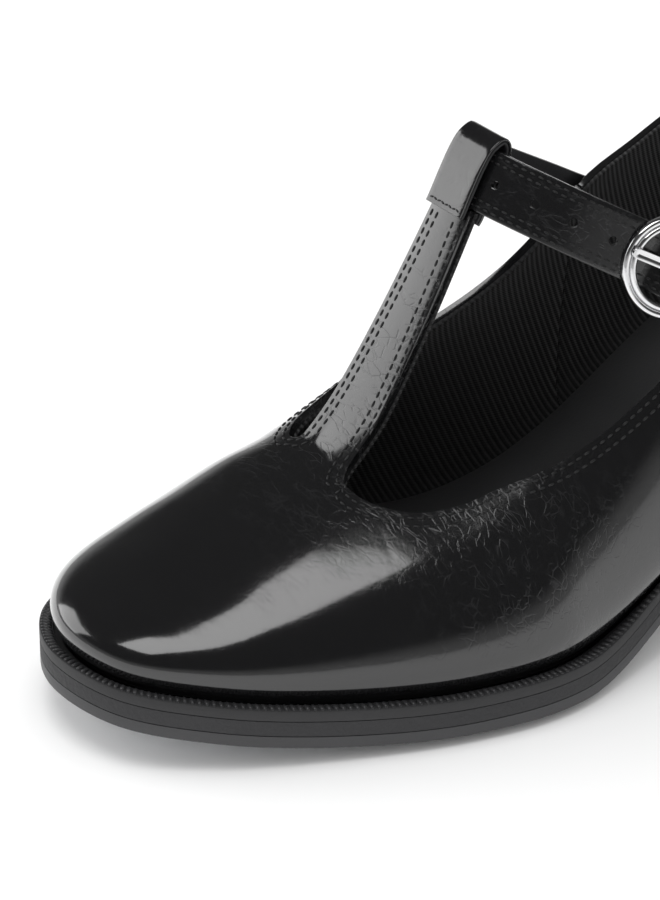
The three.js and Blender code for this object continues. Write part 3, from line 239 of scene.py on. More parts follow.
# Past the toe or the heel the surface goes on as the other side's.
def wallAround(side, u, rise):
    here = wallPoint(side, np.clip(u, 0, 1), rise)
    other = wallPoint(-side, np.where(u < 0, -u, 2 - u).clip(0, 1), rise)
    return np.where(((u < 0) | (u > 1))[..., None], other, here)


def wallNormal(side, u, rise):
    u, rise = np.broadcast_arrays(np.asarray(u, float), np.asarray(rise, float))
    du, dr = 0.002, 0.02
    r = np.clip(rise, dr, halfPi - 2 * dr)
    a = (wallAround(side, u + du, r) - wallAround(side, u - du, r)) * side
    b = wallPoint(side, u, r + dr) - wallPoint(side, u, r - dr)
    normal = unit(np.cross(a, b))
    base, inner = np.stack(footAt(side, u), -1), np.stack(edgeAt(side, u, 20), -1)
    level = unit(np.concatenate([base - inner, np.zeros(base.shape[:-1] + (1,))], -1))
    height = wallPoint(side, u, rise)[..., 2] - deckAt(base[..., 1])
    normal = unit(mix(level, normal, smooth(height / 9)[..., None]))
    low = np.maximum(u, 0.004)
    tangent = wallPoint(1, low, halfPi) - wallPoint(1, low - 0.004, halfPi)
    spine = unit(np.stack([np.zeros_like(low), -tangent[..., 2], tangent[..., 1]], -1))
    return np.where((rise > halfPi - 1e-6)[..., None], spine, normal)


def skin(side, u, rise, depth=0.0):
    depth = np.asarray(depth, float)
    return wallPoint(side, u, rise) - wallNormal(side, u, rise) * depth[..., None]


def riseFor(side, u, height):
    share = np.clip(height / crowns[side](spineStation(u)), 1e-6, 0.999)
    return np.arcsin(share ** (1 / last["risePower"]))


# The T-bar: a flat band that rises from the throat and bends upright.
tBar = {"baseWidth": 19.0, "width": 13.0, "run": 36.9, "rise": 51.9, "startSlope": 28.0, "endSlope": 60.0,
        "side": (-5.5, -8.0), "flare": {1: 5.0, -1: 2.5}, "blend": 14.0, "corner": {1: 11.0, -1: 8.0},
        "tabRise": 5.0, "tabReach": 13.0}
throatU = float(uAt(last["throat"]))


def inclined(angle):
    return np.array([0, math.cos(math.radians(angle)), math.sin(math.radians(angle))])


barUp, barOut = inclined(tBar["endSlope"]), inclined(tBar["endSlope"] + 90)
throatTop = wallPoint(1, throatU, halfPi)
bendAngle = math.radians(tBar["endSlope"] - tBar["startSlope"])
bendReach = (tBar["run"] * barUp[2] - tBar["rise"] * barUp[1]) / math.sin(bendAngle)
barPoints = np.array([
    [tBar["side"][0], throatTop[1], throatTop[2]],
    np.array([mix(*tBar["side"], 0.4), throatTop[1], throatTop[2]]) + inclined(tBar["startSlope"]) * bendReach,
    [tBar["side"][1], throatTop[1] + tBar["run"], throatTop[2] + tBar["rise"]],
])
barSample = np.linspace(0, 1, 401)
barCurve = ((1 - barSample)[:, None] ** 2 * barPoints[0] + 2 * (barSample * (1 - barSample))[:, None] * barPoints[1]
            + barSample[:, None] ** 2 * barPoints[2])
barLengths = np.concatenate([[0], np.cumsum(np.linalg.norm(np.diff(barCurve, axis=0), axis=1))])
barLength = barLengths[-1]
barEnd = barPoints[2]


def barAt(distance):
    t = np.interp(distance, barLengths, barSample)
    point = (1 - t) ** 2 * barPoints[0] + 2 * t * (1 - t) * barPoints[1] + t * t * barPoints[2]
    along = unit((1 - t) * (barPoints[1] - barPoints[0]) + t * (barPoints[2] - barPoints[1]))
    return point, along


def barHalf(side, distance):
    t = np.clip(1 - distance / tBar["flare"][side], 0, 1)
    share = np.clip(distance / barLength, 0, 1)
    return mix(tBar["baseWidth"], tBar["width"], share) / 2 + tBar["flare"][side] * (1 - np.sqrt(1 - t * t))


strapSet = {"width": 14.5, "thickness": 1.3, "lining": 1.0, "holeDiameter": 2.1, "holePitch": 9.6, "holes": 4,
            "tipLength": 27.0, "ring": 24.0, "ringBand": 3.3, "ringThick": 2.4, "bar": 2.0, "barAt": 4.6,
            "barLevel": -0.6,
            "prongWidth": 2.4, "prongThick": 1.4, "chape": 1.4, "cross": 5.0}
strapStack = strapSet["thickness"] + strapSet["lining"] + last["seatGap"]
strapOrigin = barEnd + barUp * (strapSet["width"] / 2 + 0.55)
strapX = barEnd[0]


def onStrapPlane(x, out, up=0.0):
    return np.array([x, strapOrigin[1], strapOrigin[2]]) + barOut * out + barUp * up


def planeHeight(u):
    return strapOrigin[2] - (spineStation(u) - strapOrigin[1]) * (barUp[1] / barUp[2])


# Where the middle of the strap crosses a quarter, so far down from the tip of its tab.
def wallCrossing(side, drop):
    us = np.linspace(float(uAt(130)), float(uAt(205)), 2001)
    height = planeHeight(us) - deckAt(spineStation(us))
    goal = float(toplines[side](158)) + tBar["tabRise"] - drop
    u = float(np.interp(-goal, -height, us))
    return u, float(riseFor(side, u, planeHeight(u) - deckAt(spineStation(u))))


tabStation = {side: float(spineStation(wallCrossing(side, 3)[0])) for side in (1, -1)}


def toplineHeight(side, u):
    station = spineStation(u)
    return toplines[side](station) + tBar["tabRise"] * np.exp(-(((station - tabStation[side]) / tBar["tabReach"]) ** 2))


def splitRise(side):
    centre = float(spineX(spineStation(throatU)))
    reach = abs(float(footAt(side, throatU)[0]) - centre)
    offset = side * (tBar["side"][0] - centre) + float(barHalf(side, 0.0))
    return math.acos((offset / reach) ** (1 / last["crossPower"]))


throatRise = {side: splitRise(side) for side in (1, -1)}
evenRise = (throatRise[1] + throatRise[-1]) / 2


def crestRise(side, u):
    return mix(evenRise, throatRise[side], np.clip(u / throatU, 0, 1) ** 2)


def toplineRise(side, u):
    beyond = (spineStation(u) - spineStation(throatU)) / tBar["corner"][side]
    opened = riseFor(side, u, toplineHeight(side, u))
    t = np.clip(beyond, 0, 1)
    return np.where(beyond >= 1, opened, mix(throatRise[side], opened, np.sqrt(1 - (1 - t) ** 2)))


def wallX(side, out, up, lift):
    goal = onStrapPlane(0.0, out, up)
    u, rise = float(uAt(goal[1])), 0.0
    for _ in range(4):
        rise = float(riseFor(side, u, goal[2] - deckAt(goal[1])))
        here = wallPoint(side, u, rise)[1]
        ahead = wallPoint(side, u + 0.004, rise)[1]
        u += 0.004 * (goal[1] - here) / (ahead - here)
    return float(wallPoint(side, u, rise)[0] + lift / wallNormal(side, u, rise)[0])


def rootOutOf(side):
    u, rise = wallCrossing(side, 0)
    point = wallPoint(1, u, rise) * np.array([0, 1, 1]) - strapOrigin * np.array([0, 1, 1])
    return float(point @ barOut)


rootOut = {side: rootOutOf(side) for side in (1, -1)}


def onWall(side, out, lift):
    return np.array([wallX(side, out, 0.0, lift), out])


buckleCentre = np.array([30.4, -34.2])
buckleRun = unit(onWall(1, rootOut[1] - 4, 3) - np.array([21.6, -20.5]))
buckleOut = np.array([-buckleRun[1], buckleRun[0]])
ringOuter = strapSet["ring"] / 2
ringInner = ringOuter - strapSet["ringBand"]
halfThick = strapSet["ringThick"] / 2
eyeInner = strapSet["bar"] / 2 + last["clearance"]
eyeOuter = eyeInner + 0.9
strapUnder = -halfThick - last["clearance"] - strapStack / 2 - 0.15
strapOver = strapSet["barLevel"] + eyeOuter + last["clearance"] + strapStack / 2 + 0.1
chapeLevel = strapSet["barLevel"] - strapSet["bar"] / 2 - 0.25 - strapSet["chape"] / 2


def atBuckle(run, out):
    return buckleCentre + buckleRun * run + buckleOut * out


def strapLevel(run):
    return mix(strapUnder, strapOver, float(smooth((run + strapSet["cross"]) / (2 * strapSet["cross"]))))


# An even walk along a smooth flat curve through the points given.
class flatCurve:
    def __init__(self, points, samples=3000):
        p = np.array(points, float)
        n = len(p)
        t = np.linspace(0, n - 1, samples)
        k = np.minimum(np.floor(t).astype(int), n - 2)
        w = (t - k)[:, None]
        a, b, c, d = p[np.maximum(k - 1, 0)], p[k], p[k + 1], p[np.minimum(k + 2, n - 1)]
        v0, v1 = (c - a) / 2, (d - b) / 2
        self.points = (2 * b - 2 * c + v0 + v1) * w**3 + (-3 * b + 3 * c - 2 * v0 - v1) * w**2 + v0 * w + b
        steps = np.linalg.norm(np.diff(self.points, axis=0), axis=1)
        self.lengths = np.concatenate([[0], np.cumsum(steps)])
        self.length = self.lengths[-1]

    def at(self, distance):
        return np.array([np.interp(distance, self.lengths, self.points[:, k]) for k in (0, 1)])

    def along(self, distance):
        h = 0.15
        return unit(self.at(min(self.length, distance + h)) - self.at(max(0.0, distance - h)))

    def nearest(self, goal):
        return float(self.lengths[np.argmin(np.linalg.norm(self.points - goal, axis=1))])


medialLift = last["clearance"] + strapStack / 2 + 0.6
tipLift = last["clearance"] * 2 + strapSet["chape"] + strapStack / 2 + 0.2
strapMiddle = [(-12.9, -17.5), (-10.3, -7.5), (-6.2, -2.4), (0, -1.5), (6.2, -2), (10.5, -3.6), (17.2, -8.6), (24,
    -14.8)]
strapPath = flatCurve([
    *(onWall(-1, rootOut[-1] + beyond, medialLift) for beyond in (-20, -12, -4)),
    *((strapX + x, out) for x, out in strapMiddle),
    *(atBuckle(run, strapLevel(run)) for run in (-11.5, -8.5, -6.5, -5, -3.5, -2, 0, 2, 3.5, 5, 6.5, 9, 12)),
    atBuckle(15.5, strapOver - 1.1), *(onWall(1, rootOut[1] + beyond, tipLift) for beyond in (-6, -11, -18)),
])
barRun = strapPath.nearest(atBuckle(strapSet["barAt"], strapLevel(strapSet["barAt"])))
tipSplit = strapPath.nearest(atBuckle(ringOuter + 1.6, strapOver))
strapTotal = min(strapPath.length - 1, barRun + strapSet["tipLength"])

# The part's frame stands centred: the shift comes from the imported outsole.
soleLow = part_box("outsole")[0]
shift = np.array([soleLow.x / mm - outline[:, 0].min(), soleLow.y / mm - outline[:, 1].min(), 0.0])
print("last and strap drawn, shift", shift.round(3))


# Helpers for meshes.
def deselectAll():
    if bpy.context.mode != "OBJECT":
        bpy.ops.object.mode_set(mode="OBJECT")
    bpy.ops.object.select_all(action="DESELECT")


def choose(piece):
    deselectAll()
    piece.select_set(True)
    bpy.context.view_layer.objects.active = piece


# A grid whose points are placed one by one, in millimetres on the last.
def gridPiece(name, points, shifted=True):
    points = np.asarray(points, float)
    rows, columns = points.shape[:2]
    deselectAll()
    bpy.ops.mesh.primitive_grid_add(x_subdivisions=columns - 1, y_subdivisions=rows - 1, size=1, calc_uvs=True)
    piece = bpy.context.object
    piece.name = name
    place = (points.reshape(-1, 3) + (shift if shifted else 0)) * mm
    piece.data.vertices.foreach_set("co", place.astype(np.float32).ravel())
    piece.data.update()
    return piece


def joinPieces(name, pieces, merge=1e-5):
    choose(pieces[0])
    for piece in pieces[1:]:
        piece.select_set(True)
    if len(pieces) > 1:
        bpy.ops.object.join()
    piece = bpy.context.object
    piece.name = name
    weld(piece, merge)
    return piece


# A closed piece between two grids of the same size.
def boxPiece(name, top, bottom):
    walls = [np.stack([top[:, 0], bottom[:, 0]], 1), np.stack([top[:, -1], bottom[:, -1]], 1),
             np.stack([top[0], bottom[0]], 1), np.stack([top[-1], bottom[-1]], 1)]
    sheets = [gridPiece(name + str(k), points) for k, points in enumerate([top, bottom, *walls])]
    return joinPieces(name, sheets, 2e-6)


def weld(piece, merge=1e-5):
    choose(piece)
    bpy.ops.object.mode_set(mode="EDIT")
    bpy.ops.mesh.select_all(action="SELECT")
    bpy.ops.mesh.remove_doubles(threshold=merge)
    bpy.ops.mesh.dissolve_degenerate(threshold=1e-7)
    bpy.ops.mesh.select_all(action="SELECT")
    bpy.ops.mesh.normals_make_consistent(inside=False)
    bpy.ops.object.mode_set(mode="OBJECT")


# Turns an open sheet round if most of it faces the inside of the shoe.
def faceOutwards(piece, inside):
    count = len(piece.data.polygons)
    normals, centres, areas = np.zeros(count * 3), np.zeros(count * 3), np.zeros(count)
    piece.data.polygons.foreach_get("normal", normals)
    piece.data.polygons.foreach_get("center", centres)
    piece.data.polygons.foreach_get("area", areas)
    away = centres.reshape(-1, 3) - inside(centres.reshape(-1, 3))
    if ((normals.reshape(-1, 3) * away).sum(1) * areas).sum() < 0:
        choose(piece)
        bpy.ops.object.mode_set(mode="EDIT")
        bpy.ops.mesh.select_all(action="SELECT")
        bpy.ops.mesh.flip_normals()
        bpy.ops.object.mode_set(mode="OBJECT")


def shoeInside(centres):
    station = centres[:, 1] / mm - shift[1]
    return np.stack([(spineX(station) + shift[0]) * mm, centres[:, 1], (deckAt(station) + 4) * mm], -1)


def applyModifier(piece, kind, **values):
    choose(piece)
    modifier = piece.modifiers.new(kind.lower(), kind)
    for key, value in values.items():
        setattr(modifier, key, value)
    bpy.ops.object.modifier_apply(modifier=modifier.name)


def roundEdges(piece, width, segments=3, angle=50):
    applyModifier(piece, "BEVEL", width=width * mm, segments=segments, limit_method="ANGLE",
        angle_limit=math.radians(angle))


def thicken(piece, thickness, edge=0.0, segments=3, offset=-1.0):
    applyModifier(piece, "SOLIDIFY", thickness=thickness * mm, offset=offset, use_even_offset=False, use_rim=True)
    if edge:
        roundEdges(piece, edge, segments, 55)


def finish(piece, material, nodes=(), body="shoe", angle=40):
    choose(piece)
    bpy.ops.object.shade_smooth_by_angle(angle=math.radians(angle))
    piece.data.materials.clear()
    piece.data.materials.append(material)
    if nodes:
        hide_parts(*nodes)
    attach(piece, body)
    return piece


# Materials.
# A node of a kind in a tree. What it is given goes into its inputs, as values or as links from other nodes.
def nodeIn(tree, kind, place, given=None, **values):
    node = tree.nodes.new(kind if kind.startswith("NodeGroup") else "ShaderNode" + kind)
    node.location = place
    for key, setting in values.items():
        setattr(node, key, setting)
    for key, source in (given or {}).items():
        if isinstance(source, bpy.types.NodeSocket):
            tree.links.new(source, node.inputs[key])
        else:
            node.inputs[key].default_value = source
    return node


def setSockets(node, **values):
    for key, value in values.items():
        node.inputs[key.replace("_", " ")].default_value = value


def newGroup(name, inputs, outputs):
    group = bpy.data.node_groups.new(name, "ShaderNodeTree")
    for socketName, kind, default in inputs:
        socket = group.interface.new_socket(socketName, in_out="INPUT", socket_type=kind)
        if default is not None:
            socket.default_value = default
    for socketName, kind in outputs:
        group.interface.new_socket(socketName, in_out="OUTPUT", socket_type=kind)
    return group, nodeIn(group, "NodeGroupInput", (-900, 0)), nodeIn(group, "NodeGroupOutput", (900, 0))


# Short straight creases in patches, as coated leather gets where it bends.
def makeCreaseGroup():
    group, given, result = newGroup("creaseField", [("Vector", "NodeSocketVector", None), ("Scale",
        "NodeSocketFloat", 1.0),
                                                   ("Amount", "NodeSocketFloat", 1.0)], [("Height",
                                                   "NodeSocketFloat"), ("Mask", "NodeSocketFloat")])
    link = group.links.new
    scaled = nodeIn(group, "VectorMath", (-720, 0), {
        0: given.outputs["Vector"], "Scale": given.outputs["Scale"]}, operation="SCALE")
    warp = nodeIn(group, "TexNoise", (-540, 200), {"Scale": 38.0, "Detail": 2.0, "Vector": scaled.outputs[0]})
    pushed = nodeIn(group, "VectorMath", (-360, 100), {
        1: (0.012, 0.012, 0.012), 0: warp.outputs["Color"], 2: scaled.outputs[0]}, operation="MULTIPLY_ADD")
    total = None
    for turn, stretch, offset in ((0.5, 3.2, 0.0), (-0.75, 3.8, 5.3), (1.5, 3.0, 9.1)):
        mapping = nodeIn(group, "Mapping", (-180, -200 * len(group.nodes) / 4), {
            "Location": (offset, offset, 0), "Rotation": (0.3 * turn, 0.6 * turn, turn),
            "Scale": (1, stretch, stretch * 0.7), "Vector": pushed.outputs[0]})
        cells = nodeIn(group, "TexVoronoi", (0, 0), {
            "Scale": 125.0, "Randomness": 1.0, "Vector": mapping.outputs[0]}, feature="DISTANCE_TO_EDGE")
        line = nodeIn(group, "MapRange", (180, 0), {
            "From Min": 0.0, "From Max": 0.09, "To Min": 1.0, "To Max": 0.0, "Value": cells.outputs["Distance"]},
            interpolation_type="SMOOTHSTEP")
        patch = nodeIn(group, "TexNoise", (0, -200), {"Scale": 70.0, "Detail": 1.0, "Vector": mapping.outputs[0]})
        some = nodeIn(group, "MapRange", (180, -200), {
            "From Min": 0.5, "From Max": 0.66, "To Min": 0.0, "To Max": 1.0, "Value": patch.outputs["Fac"]},
            interpolation_type="SMOOTHSTEP")
        part = nodeIn(group, "Math", (360, 0), {0: line.outputs[0], 1: some.outputs[0]}, operation="MULTIPLY")
        if total is None:
            total = part
        else:
            both = nodeIn(group, "Math", (540, 0), {0: total.outputs[0], 1: part.outputs[0]}, operation="MAXIMUM")
            total = both
    masked = nodeIn(group, "Math", (700, 0), {0: total.outputs[0], 1: given.outputs["Amount"]}, operation="MULTIPLY")
    link(masked.outputs[0], result.inputs["Mask"])
    swell = nodeIn(group, "TexNoise", (360, -300), {
        "Scale": 95.0, "Detail": 3.0, "Roughness": 0.55, "Vector": pushed.outputs[0]})
    sunk = nodeIn(group, "Math", (740, -200), {
        1: -0.55, 0: masked.outputs[0], 2: swell.outputs["Fac"]}, operation="MULTIPLY_ADD")
    link(sunk.outputs[0], result.inputs["Height"])
    return group


# Fine pores and soft blotches, for smooth linings, edges and plain sheets.
def makeGrainGroup():
    group, given, result = newGroup("fineGrain", [("Vector", "NodeSocketVector", None), ("Scale", "NodeSocketFloat",
        1.0)],
                                    [("Height", "NodeSocketFloat"), ("Blotch", "NodeSocketFloat")])
    link = group.links.new
    scaled = nodeIn(group, "VectorMath", (-600, 0), {
        0: given.outputs["Vector"], "Scale": given.outputs["Scale"]}, operation="SCALE")
    pores = nodeIn(group, "TexVoronoi", (-300, 100), {"Scale": 1500.0}, feature="F1")
    grain = nodeIn(group, "TexNoise", (-300, -150), {"Scale": 900.0, "Detail": 4.0, "Roughness": 0.6})
    blotch = nodeIn(group, "TexNoise", (-300, -400), {"Scale": 60.0, "Detail": 3.0})
    for node in (pores, grain, blotch):
        link(scaled.outputs[0], node.inputs["Vector"])
    height = nodeIn(group, "Math", (0, 0), {
        1: 0.4, 0: pores.outputs["Distance"], 2: grain.outputs["Fac"]}, operation="MULTIPLY_ADD")
    link(height.outputs[0], result.inputs["Height"])
    link(blotch.outputs["Fac"], result.inputs["Blotch"])
    return group


creaseGroup, grainGroup = makeCreaseGroup(), makeGrainGroup()


def newMaterial(name):
    material = bpy.data.materials.new(name)
    material.use_nodes = True
    tree = material.node_tree
    tree.nodes.clear()
    output = nodeIn(tree, "OutputMaterial", (900, 0))
    shader = nodeIn(tree, "BsdfPrincipled", (600, 0))
    tree.links.new(shader.outputs[0], output.inputs["Surface"])
    place = nodeIn(tree, "TexCoord", (-900, 0))
    return material, tree, shader, place


# A mask that is 1 near a place on the last and fades out over a distance, in millimetres.
def nearMask(tree, place, point, near, far):
    gap = nodeIn(tree, "VectorMath", (-700, -400), {
        1: tuple((np.array(point) + shift) * mm), 0: place.outputs["Object"]}, operation="DISTANCE")
    fade = nodeIn(tree, "MapRange", (-520, -400), {
        "From Min": near * mm, "From Max": far * mm, "To Min": 1.0, "To Max": 0.0, "Value": gap.outputs["Value"]},
        interpolation_type="SMOOTHSTEP")
    return fade


patentSet = {"colour": (0.0065, 0.0065, 0.007, 1), "dull": (0.013, 0.013, 0.014, 1), "roughness": (0.14, 0.32),
             "bump": 0.24, "bumpDepth": 0.00045, "undulation": 0.0012}


def patentLeather(name, scale, spots, base, values=patentSet, coat=1.0):
    material, tree, shader, place = newMaterial(name)
    link = tree.links.new
    amount = None
    for point, near, far in spots:
        mask = nearMask(tree, place, point, near, far)
        if amount is None:
            amount = mask
        else:
            joined = nodeIn(tree, "Math", (-340, -400), {0: amount.outputs[0], 1: mask.outputs[0]}, operation="MAXIMUM")
            amount = joined
    creases = nodeIn(tree, "Group", (-160, -200))
    creases.node_tree = creaseGroup
    creases.inputs["Scale"].default_value = scale
    link(place.outputs["Object"], creases.inputs["Vector"])
    strength = nodeIn(tree, "MapRange", (-300, -420), {"From Min": 0.0, "From Max": 1.0, "To Min": base, "To Max": 1.0})
    if amount is None:
        creases.inputs["Amount"].default_value = base
    else:
        link(amount.outputs[0], strength.inputs["Value"])
        link(strength.outputs[0], creases.inputs["Amount"])
    broad = nodeIn(tree, "TexNoise", (-160, -520), {"Scale": 26.0, "Detail": 1.0, "Vector": place.outputs["Object"]})
    colour = nodeIn(tree, "Mix", (200, 200), data_type="RGBA")
    colour.inputs[6].default_value, colour.inputs[7].default_value = values["colour"], values["dull"]
    link(creases.outputs["Mask"], colour.inputs[0])
    link(colour.outputs[2], shader.inputs["Base Color"])
    rough = nodeIn(tree, "MapRange", (200, 0), {
        "From Min": 0.0, "From Max": 1.0, "To Min": values["roughness"][0], "To Max": values["roughness"][1],
        "Value": creases.outputs["Mask"]})
    link(rough.outputs[0], shader.inputs["Roughness"])
    swell = nodeIn(tree, "Bump", (200, -500), {
        "Strength": 0.5, "Distance": values["undulation"], "Height": broad.outputs["Fac"]})
    bump = nodeIn(tree, "Bump", (400, -300), {
        "Strength": values["bump"], "Distance": values["bumpDepth"], "Height": creases.outputs["Height"],
        "Normal": swell.outputs[0]})
    link(bump.outputs[0], shader.inputs["Normal"])
    setSockets(shader, Coat_Weight=coat, Coat_Roughness=0.09, Coat_IOR=1.5)
    shader.inputs["IOR"].default_value = 1.5
    return material


# A plain surface with fine grain: colour, roughness range and bump depth.
def grained(name, colour, pale, rough, depth, scale=1.0, metallic=0.0, sheen=0.0, coat=0.0):
    material, tree, shader, place = newMaterial(name)
    link = tree.links.new
    grain = nodeIn(tree, "Group", (-300, 0))
    grain.node_tree = grainGroup
    grain.inputs["Scale"].default_value = scale
    link(place.outputs["Object"], grain.inputs["Vector"])
    tone = nodeIn(tree, "Mix", (100, 200), data_type="RGBA")
    tone.inputs[6].default_value, tone.inputs[7].default_value = (*colour, 1), (*pale, 1)
    link(grain.outputs["Blotch"], tone.inputs[0])
    link(tone.outputs[2], shader.inputs["Base Color"])
    roughness = nodeIn(tree, "MapRange", (100, 0), {
        "To Min": rough[0], "To Max": rough[1], "Value": grain.outputs["Blotch"]})
    link(roughness.outputs[0], shader.inputs["Roughness"])
    bump = nodeIn(tree, "Bump", (300, -300), {"Strength": 0.6, "Distance": depth, "Height": grain.outputs["Height"]})
    link(bump.outputs[0], shader.inputs["Normal"])
    setSockets(shader, Metallic=metallic, Sheen_Weight=sheen, Coat_Weight=coat)
    return material


# Ribbed textile: fine cords that lean towards the toe, with a twill across them, and painted shade that darkens the
# grooves and lightens the crests.
def ribbedTextile(name, pitch=1.5):
    material, tree, shader, place = newMaterial(name)
    link = tree.links.new
    across = nodeIn(tree, "VectorMath", (-700, 0), {
        1: (0.0, 0.912, 0.411), 0: place.outputs["Object"]}, operation="DOT_PRODUCT")
    phase = nodeIn(tree, "Math", (-540, 0), {
        1: 2 * math.pi / (pitch * mm), 0: across.outputs["Value"]}, operation="MULTIPLY")
    wave = nodeIn(tree, "Math", (-380, 0), {0: phase.outputs[0]}, operation="SINE")
    upward = nodeIn(tree, "VectorMath", (-700, -250), {
        1: (0.0, -0.411, 0.912), 0: place.outputs["Object"]}, operation="DOT_PRODUCT")
    twist = nodeIn(tree, "Math", (-540, -250), {
        1: 2 * math.pi / (0.7 * mm), 0: upward.outputs["Value"]}, operation="MULTIPLY")
    lean = nodeIn(tree, "Math", (-380, -250), {0: twist.outputs[0], 1: phase.outputs[0]}, operation="ADD")
    yarn = nodeIn(tree, "Math", (-220, -250), {0: lean.outputs[0]}, operation="SINE")
    height = nodeIn(tree, "Math", (-60, -100), {
        1: 0.22, 0: yarn.outputs[0], 2: wave.outputs[0]}, operation="MULTIPLY_ADD")
    # Painted shade: the colour follows the rib height, darker in the grooves and lighter on the crests.
    shade = nodeIn(tree, "MapRange", (140, 100), {
        "From Min": -1.2, "From Max": 1.2, "To Min": 0.0, "To Max": 1.0, "Value": height.outputs[0]})
    tone = nodeIn(tree, "Mix", (300, 200), data_type="RGBA")
    tone.inputs[6].default_value, tone.inputs[7].default_value = (0.004, 0.004, 0.0043, 1), (0.015, 0.015, 0.016, 1)
    link(shade.outputs[0], tone.inputs[0])
    link(tone.outputs[2], shader.inputs["Base Color"])
    bump = nodeIn(tree, "Bump", (300, -300), {"Strength": 0.8, "Distance": 0.00035, "Height": height.outputs[0]})
    link(bump.outputs[0], shader.inputs["Normal"])
    setSockets(shader, Roughness=0.82, Sheen_Weight=0.1, Sheen_Roughness=0.5)
    return material


upperMaterial = patentLeather("patentUpper", 1.45, [((-4, 84, 62), 14, 52), ((46, 96, 38), 8, 42), ((-38, 96, 40), 8,
    42)], 0.10)
barMaterial = patentLeather("patentBar", 1.5, [], 0.5)
strapMaterial = patentLeather("patentStrap", 1.9, [], 0.6)
liningMaterial = ribbedTextile("ribbedLining")
smoothLining = grained("smoothLining", (0.016, 0.016, 0.017), (0.026, 0.026, 0.028), (0.4, 0.55), 0.00012)
sockMaterial = grained("sockLeather", (0.02, 0.02, 0.021), (0.03, 0.03, 0.031), (0.42, 0.55), 0.0001)
edgeMaterial = grained("soleEdge", (0.035, 0.035, 0.037), (0.05, 0.05, 0.053), (0.42, 0.55), 0.00006)
midMaterial = grained("stippledMidsole", (0.022, 0.022, 0.024), (0.036, 0.036, 0.038), (0.6, 0.8), 0.0006, 0.55)
grooveMaterial = grained("weltGroove", (0.018, 0.018, 0.019), (0.03, 0.03, 0.032), (0.5, 0.65), 0.0001)
ribMaterial = grained("weltRibs", (0.02, 0.02, 0.021), (0.035, 0.035, 0.037), (0.24, 0.36), 0.00005)
threadMaterial = grained("blackThread", (0.006, 0.006, 0.0065), (0.014, 0.014, 0.015), (0.4, 0.55), 0.00012, 1.6)
metalMaterial = grained("polishedNickel", (0.78, 0.78, 0.79), (0.86, 0.86, 0.87), (0.06, 0.13), 0.00001, metallic=1.0)
tapMaterial = grained("tapPlate", (0.55, 0.56, 0.58), (0.66, 0.67, 0.69), (0.25, 0.4), 0.00003, metallic=1.0)
steelMaterial = grained("plainSteel", (0.45, 0.46, 0.48), (0.55, 0.56, 0.58), (0.3, 0.42), 0.00003, metallic=1.0)
rubberMaterial = grained("heelRubber", (0.018, 0.018, 0.018), (0.03, 0.03, 0.03), (0.7, 0.85), 0.0003, 0.7)
boardMaterial = grained("fibreBoard", (0.3, 0.23, 0.15), (0.42, 0.33, 0.22), (0.85, 0.95), 0.0003, 0.5)
corkMaterial = grained("corkFiller", (0.3, 0.2, 0.11), (0.5, 0.36, 0.2), (0.85, 0.95), 0.0006, 0.35)
stiffMaterial = grained("stiffener", (0.3, 0.27, 0.22), (0.4, 0.37, 0.3), (0.85, 0.95), 0.0003, 0.6)
print("materials made")


# The upper and the linings.
sheetSet = {"rows": 20, "capColumns": 9, "forepart": 26, "wing": 34, "barRows": 40, "quarter": 40, "rim": 0.42,
    "shell": 1.75}


def capRise(side, u, share):
    return np.arccos(np.clip(np.cos(crestRise(side, u)) * (1 - share) ** (1 / last["crossPower"]), 0, 1))


def columnPoints(side, us, tops, depth, rows, footDrop):
    shares = (np.arange(rows + 1) / rows) ** 1.2
    u = np.broadcast_to(np.asarray(us)[:, None], (len(us), rows + 1))
    rise = np.asarray(tops)[:, None] * shares[None, :]
    points = skin(side, u, rise, np.broadcast_to(depth(u, shares[None, :]), u.shape))
    low = points[:, :1].copy()
    low[:, 0, 2] -= footDrop
    return np.concatenate([low, points], axis=1)


# One row of the T-bar, so far from the throat, at a depth below its face.
def barRowPoints(distance, riseRow, depth):
    centre, along = barAt(min(distance, barLength))
    face = unit(np.cross([1.0, 0, 0], along))
    flat = float(smooth(distance / tBar["blend"]))
    starts = np.array([wallPoint(side, throatU, rise) for side, rise in riseRow])
    normals = np.array([wallNormal(side, throatU, rise) for side, rise in riseRow])
    share = (starts[:, 0] - starts[0, 0]) / (starts[-1, 0] - starts[0, 0])
    x = mix(centre[0] - float(barHalf(-1, distance)), centre[0] + float(barHalf(1, distance)), share)
    dome = 0.5 * (2 * share - 1) ** 2 * flat
    sag = (starts - throatTop) * (1 - flat)
    points = np.stack([x, centre[1] + sag[:, 1], centre[2] + sag[:, 2]], -1) - face * dome[:, None]
    out = unit(mix(normals, face, float(smooth(distance / 6))))
    return points - out * depth


def throatRow(count):
    risesInner = [(-1, float(capRise(-1, throatU, j / count))) for j in range(count + 1)]
    risesOuter = [(1, float(capRise(1, throatU, j / count))) for j in range(count - 1, -1, -1)]
    return risesInner + risesOuter


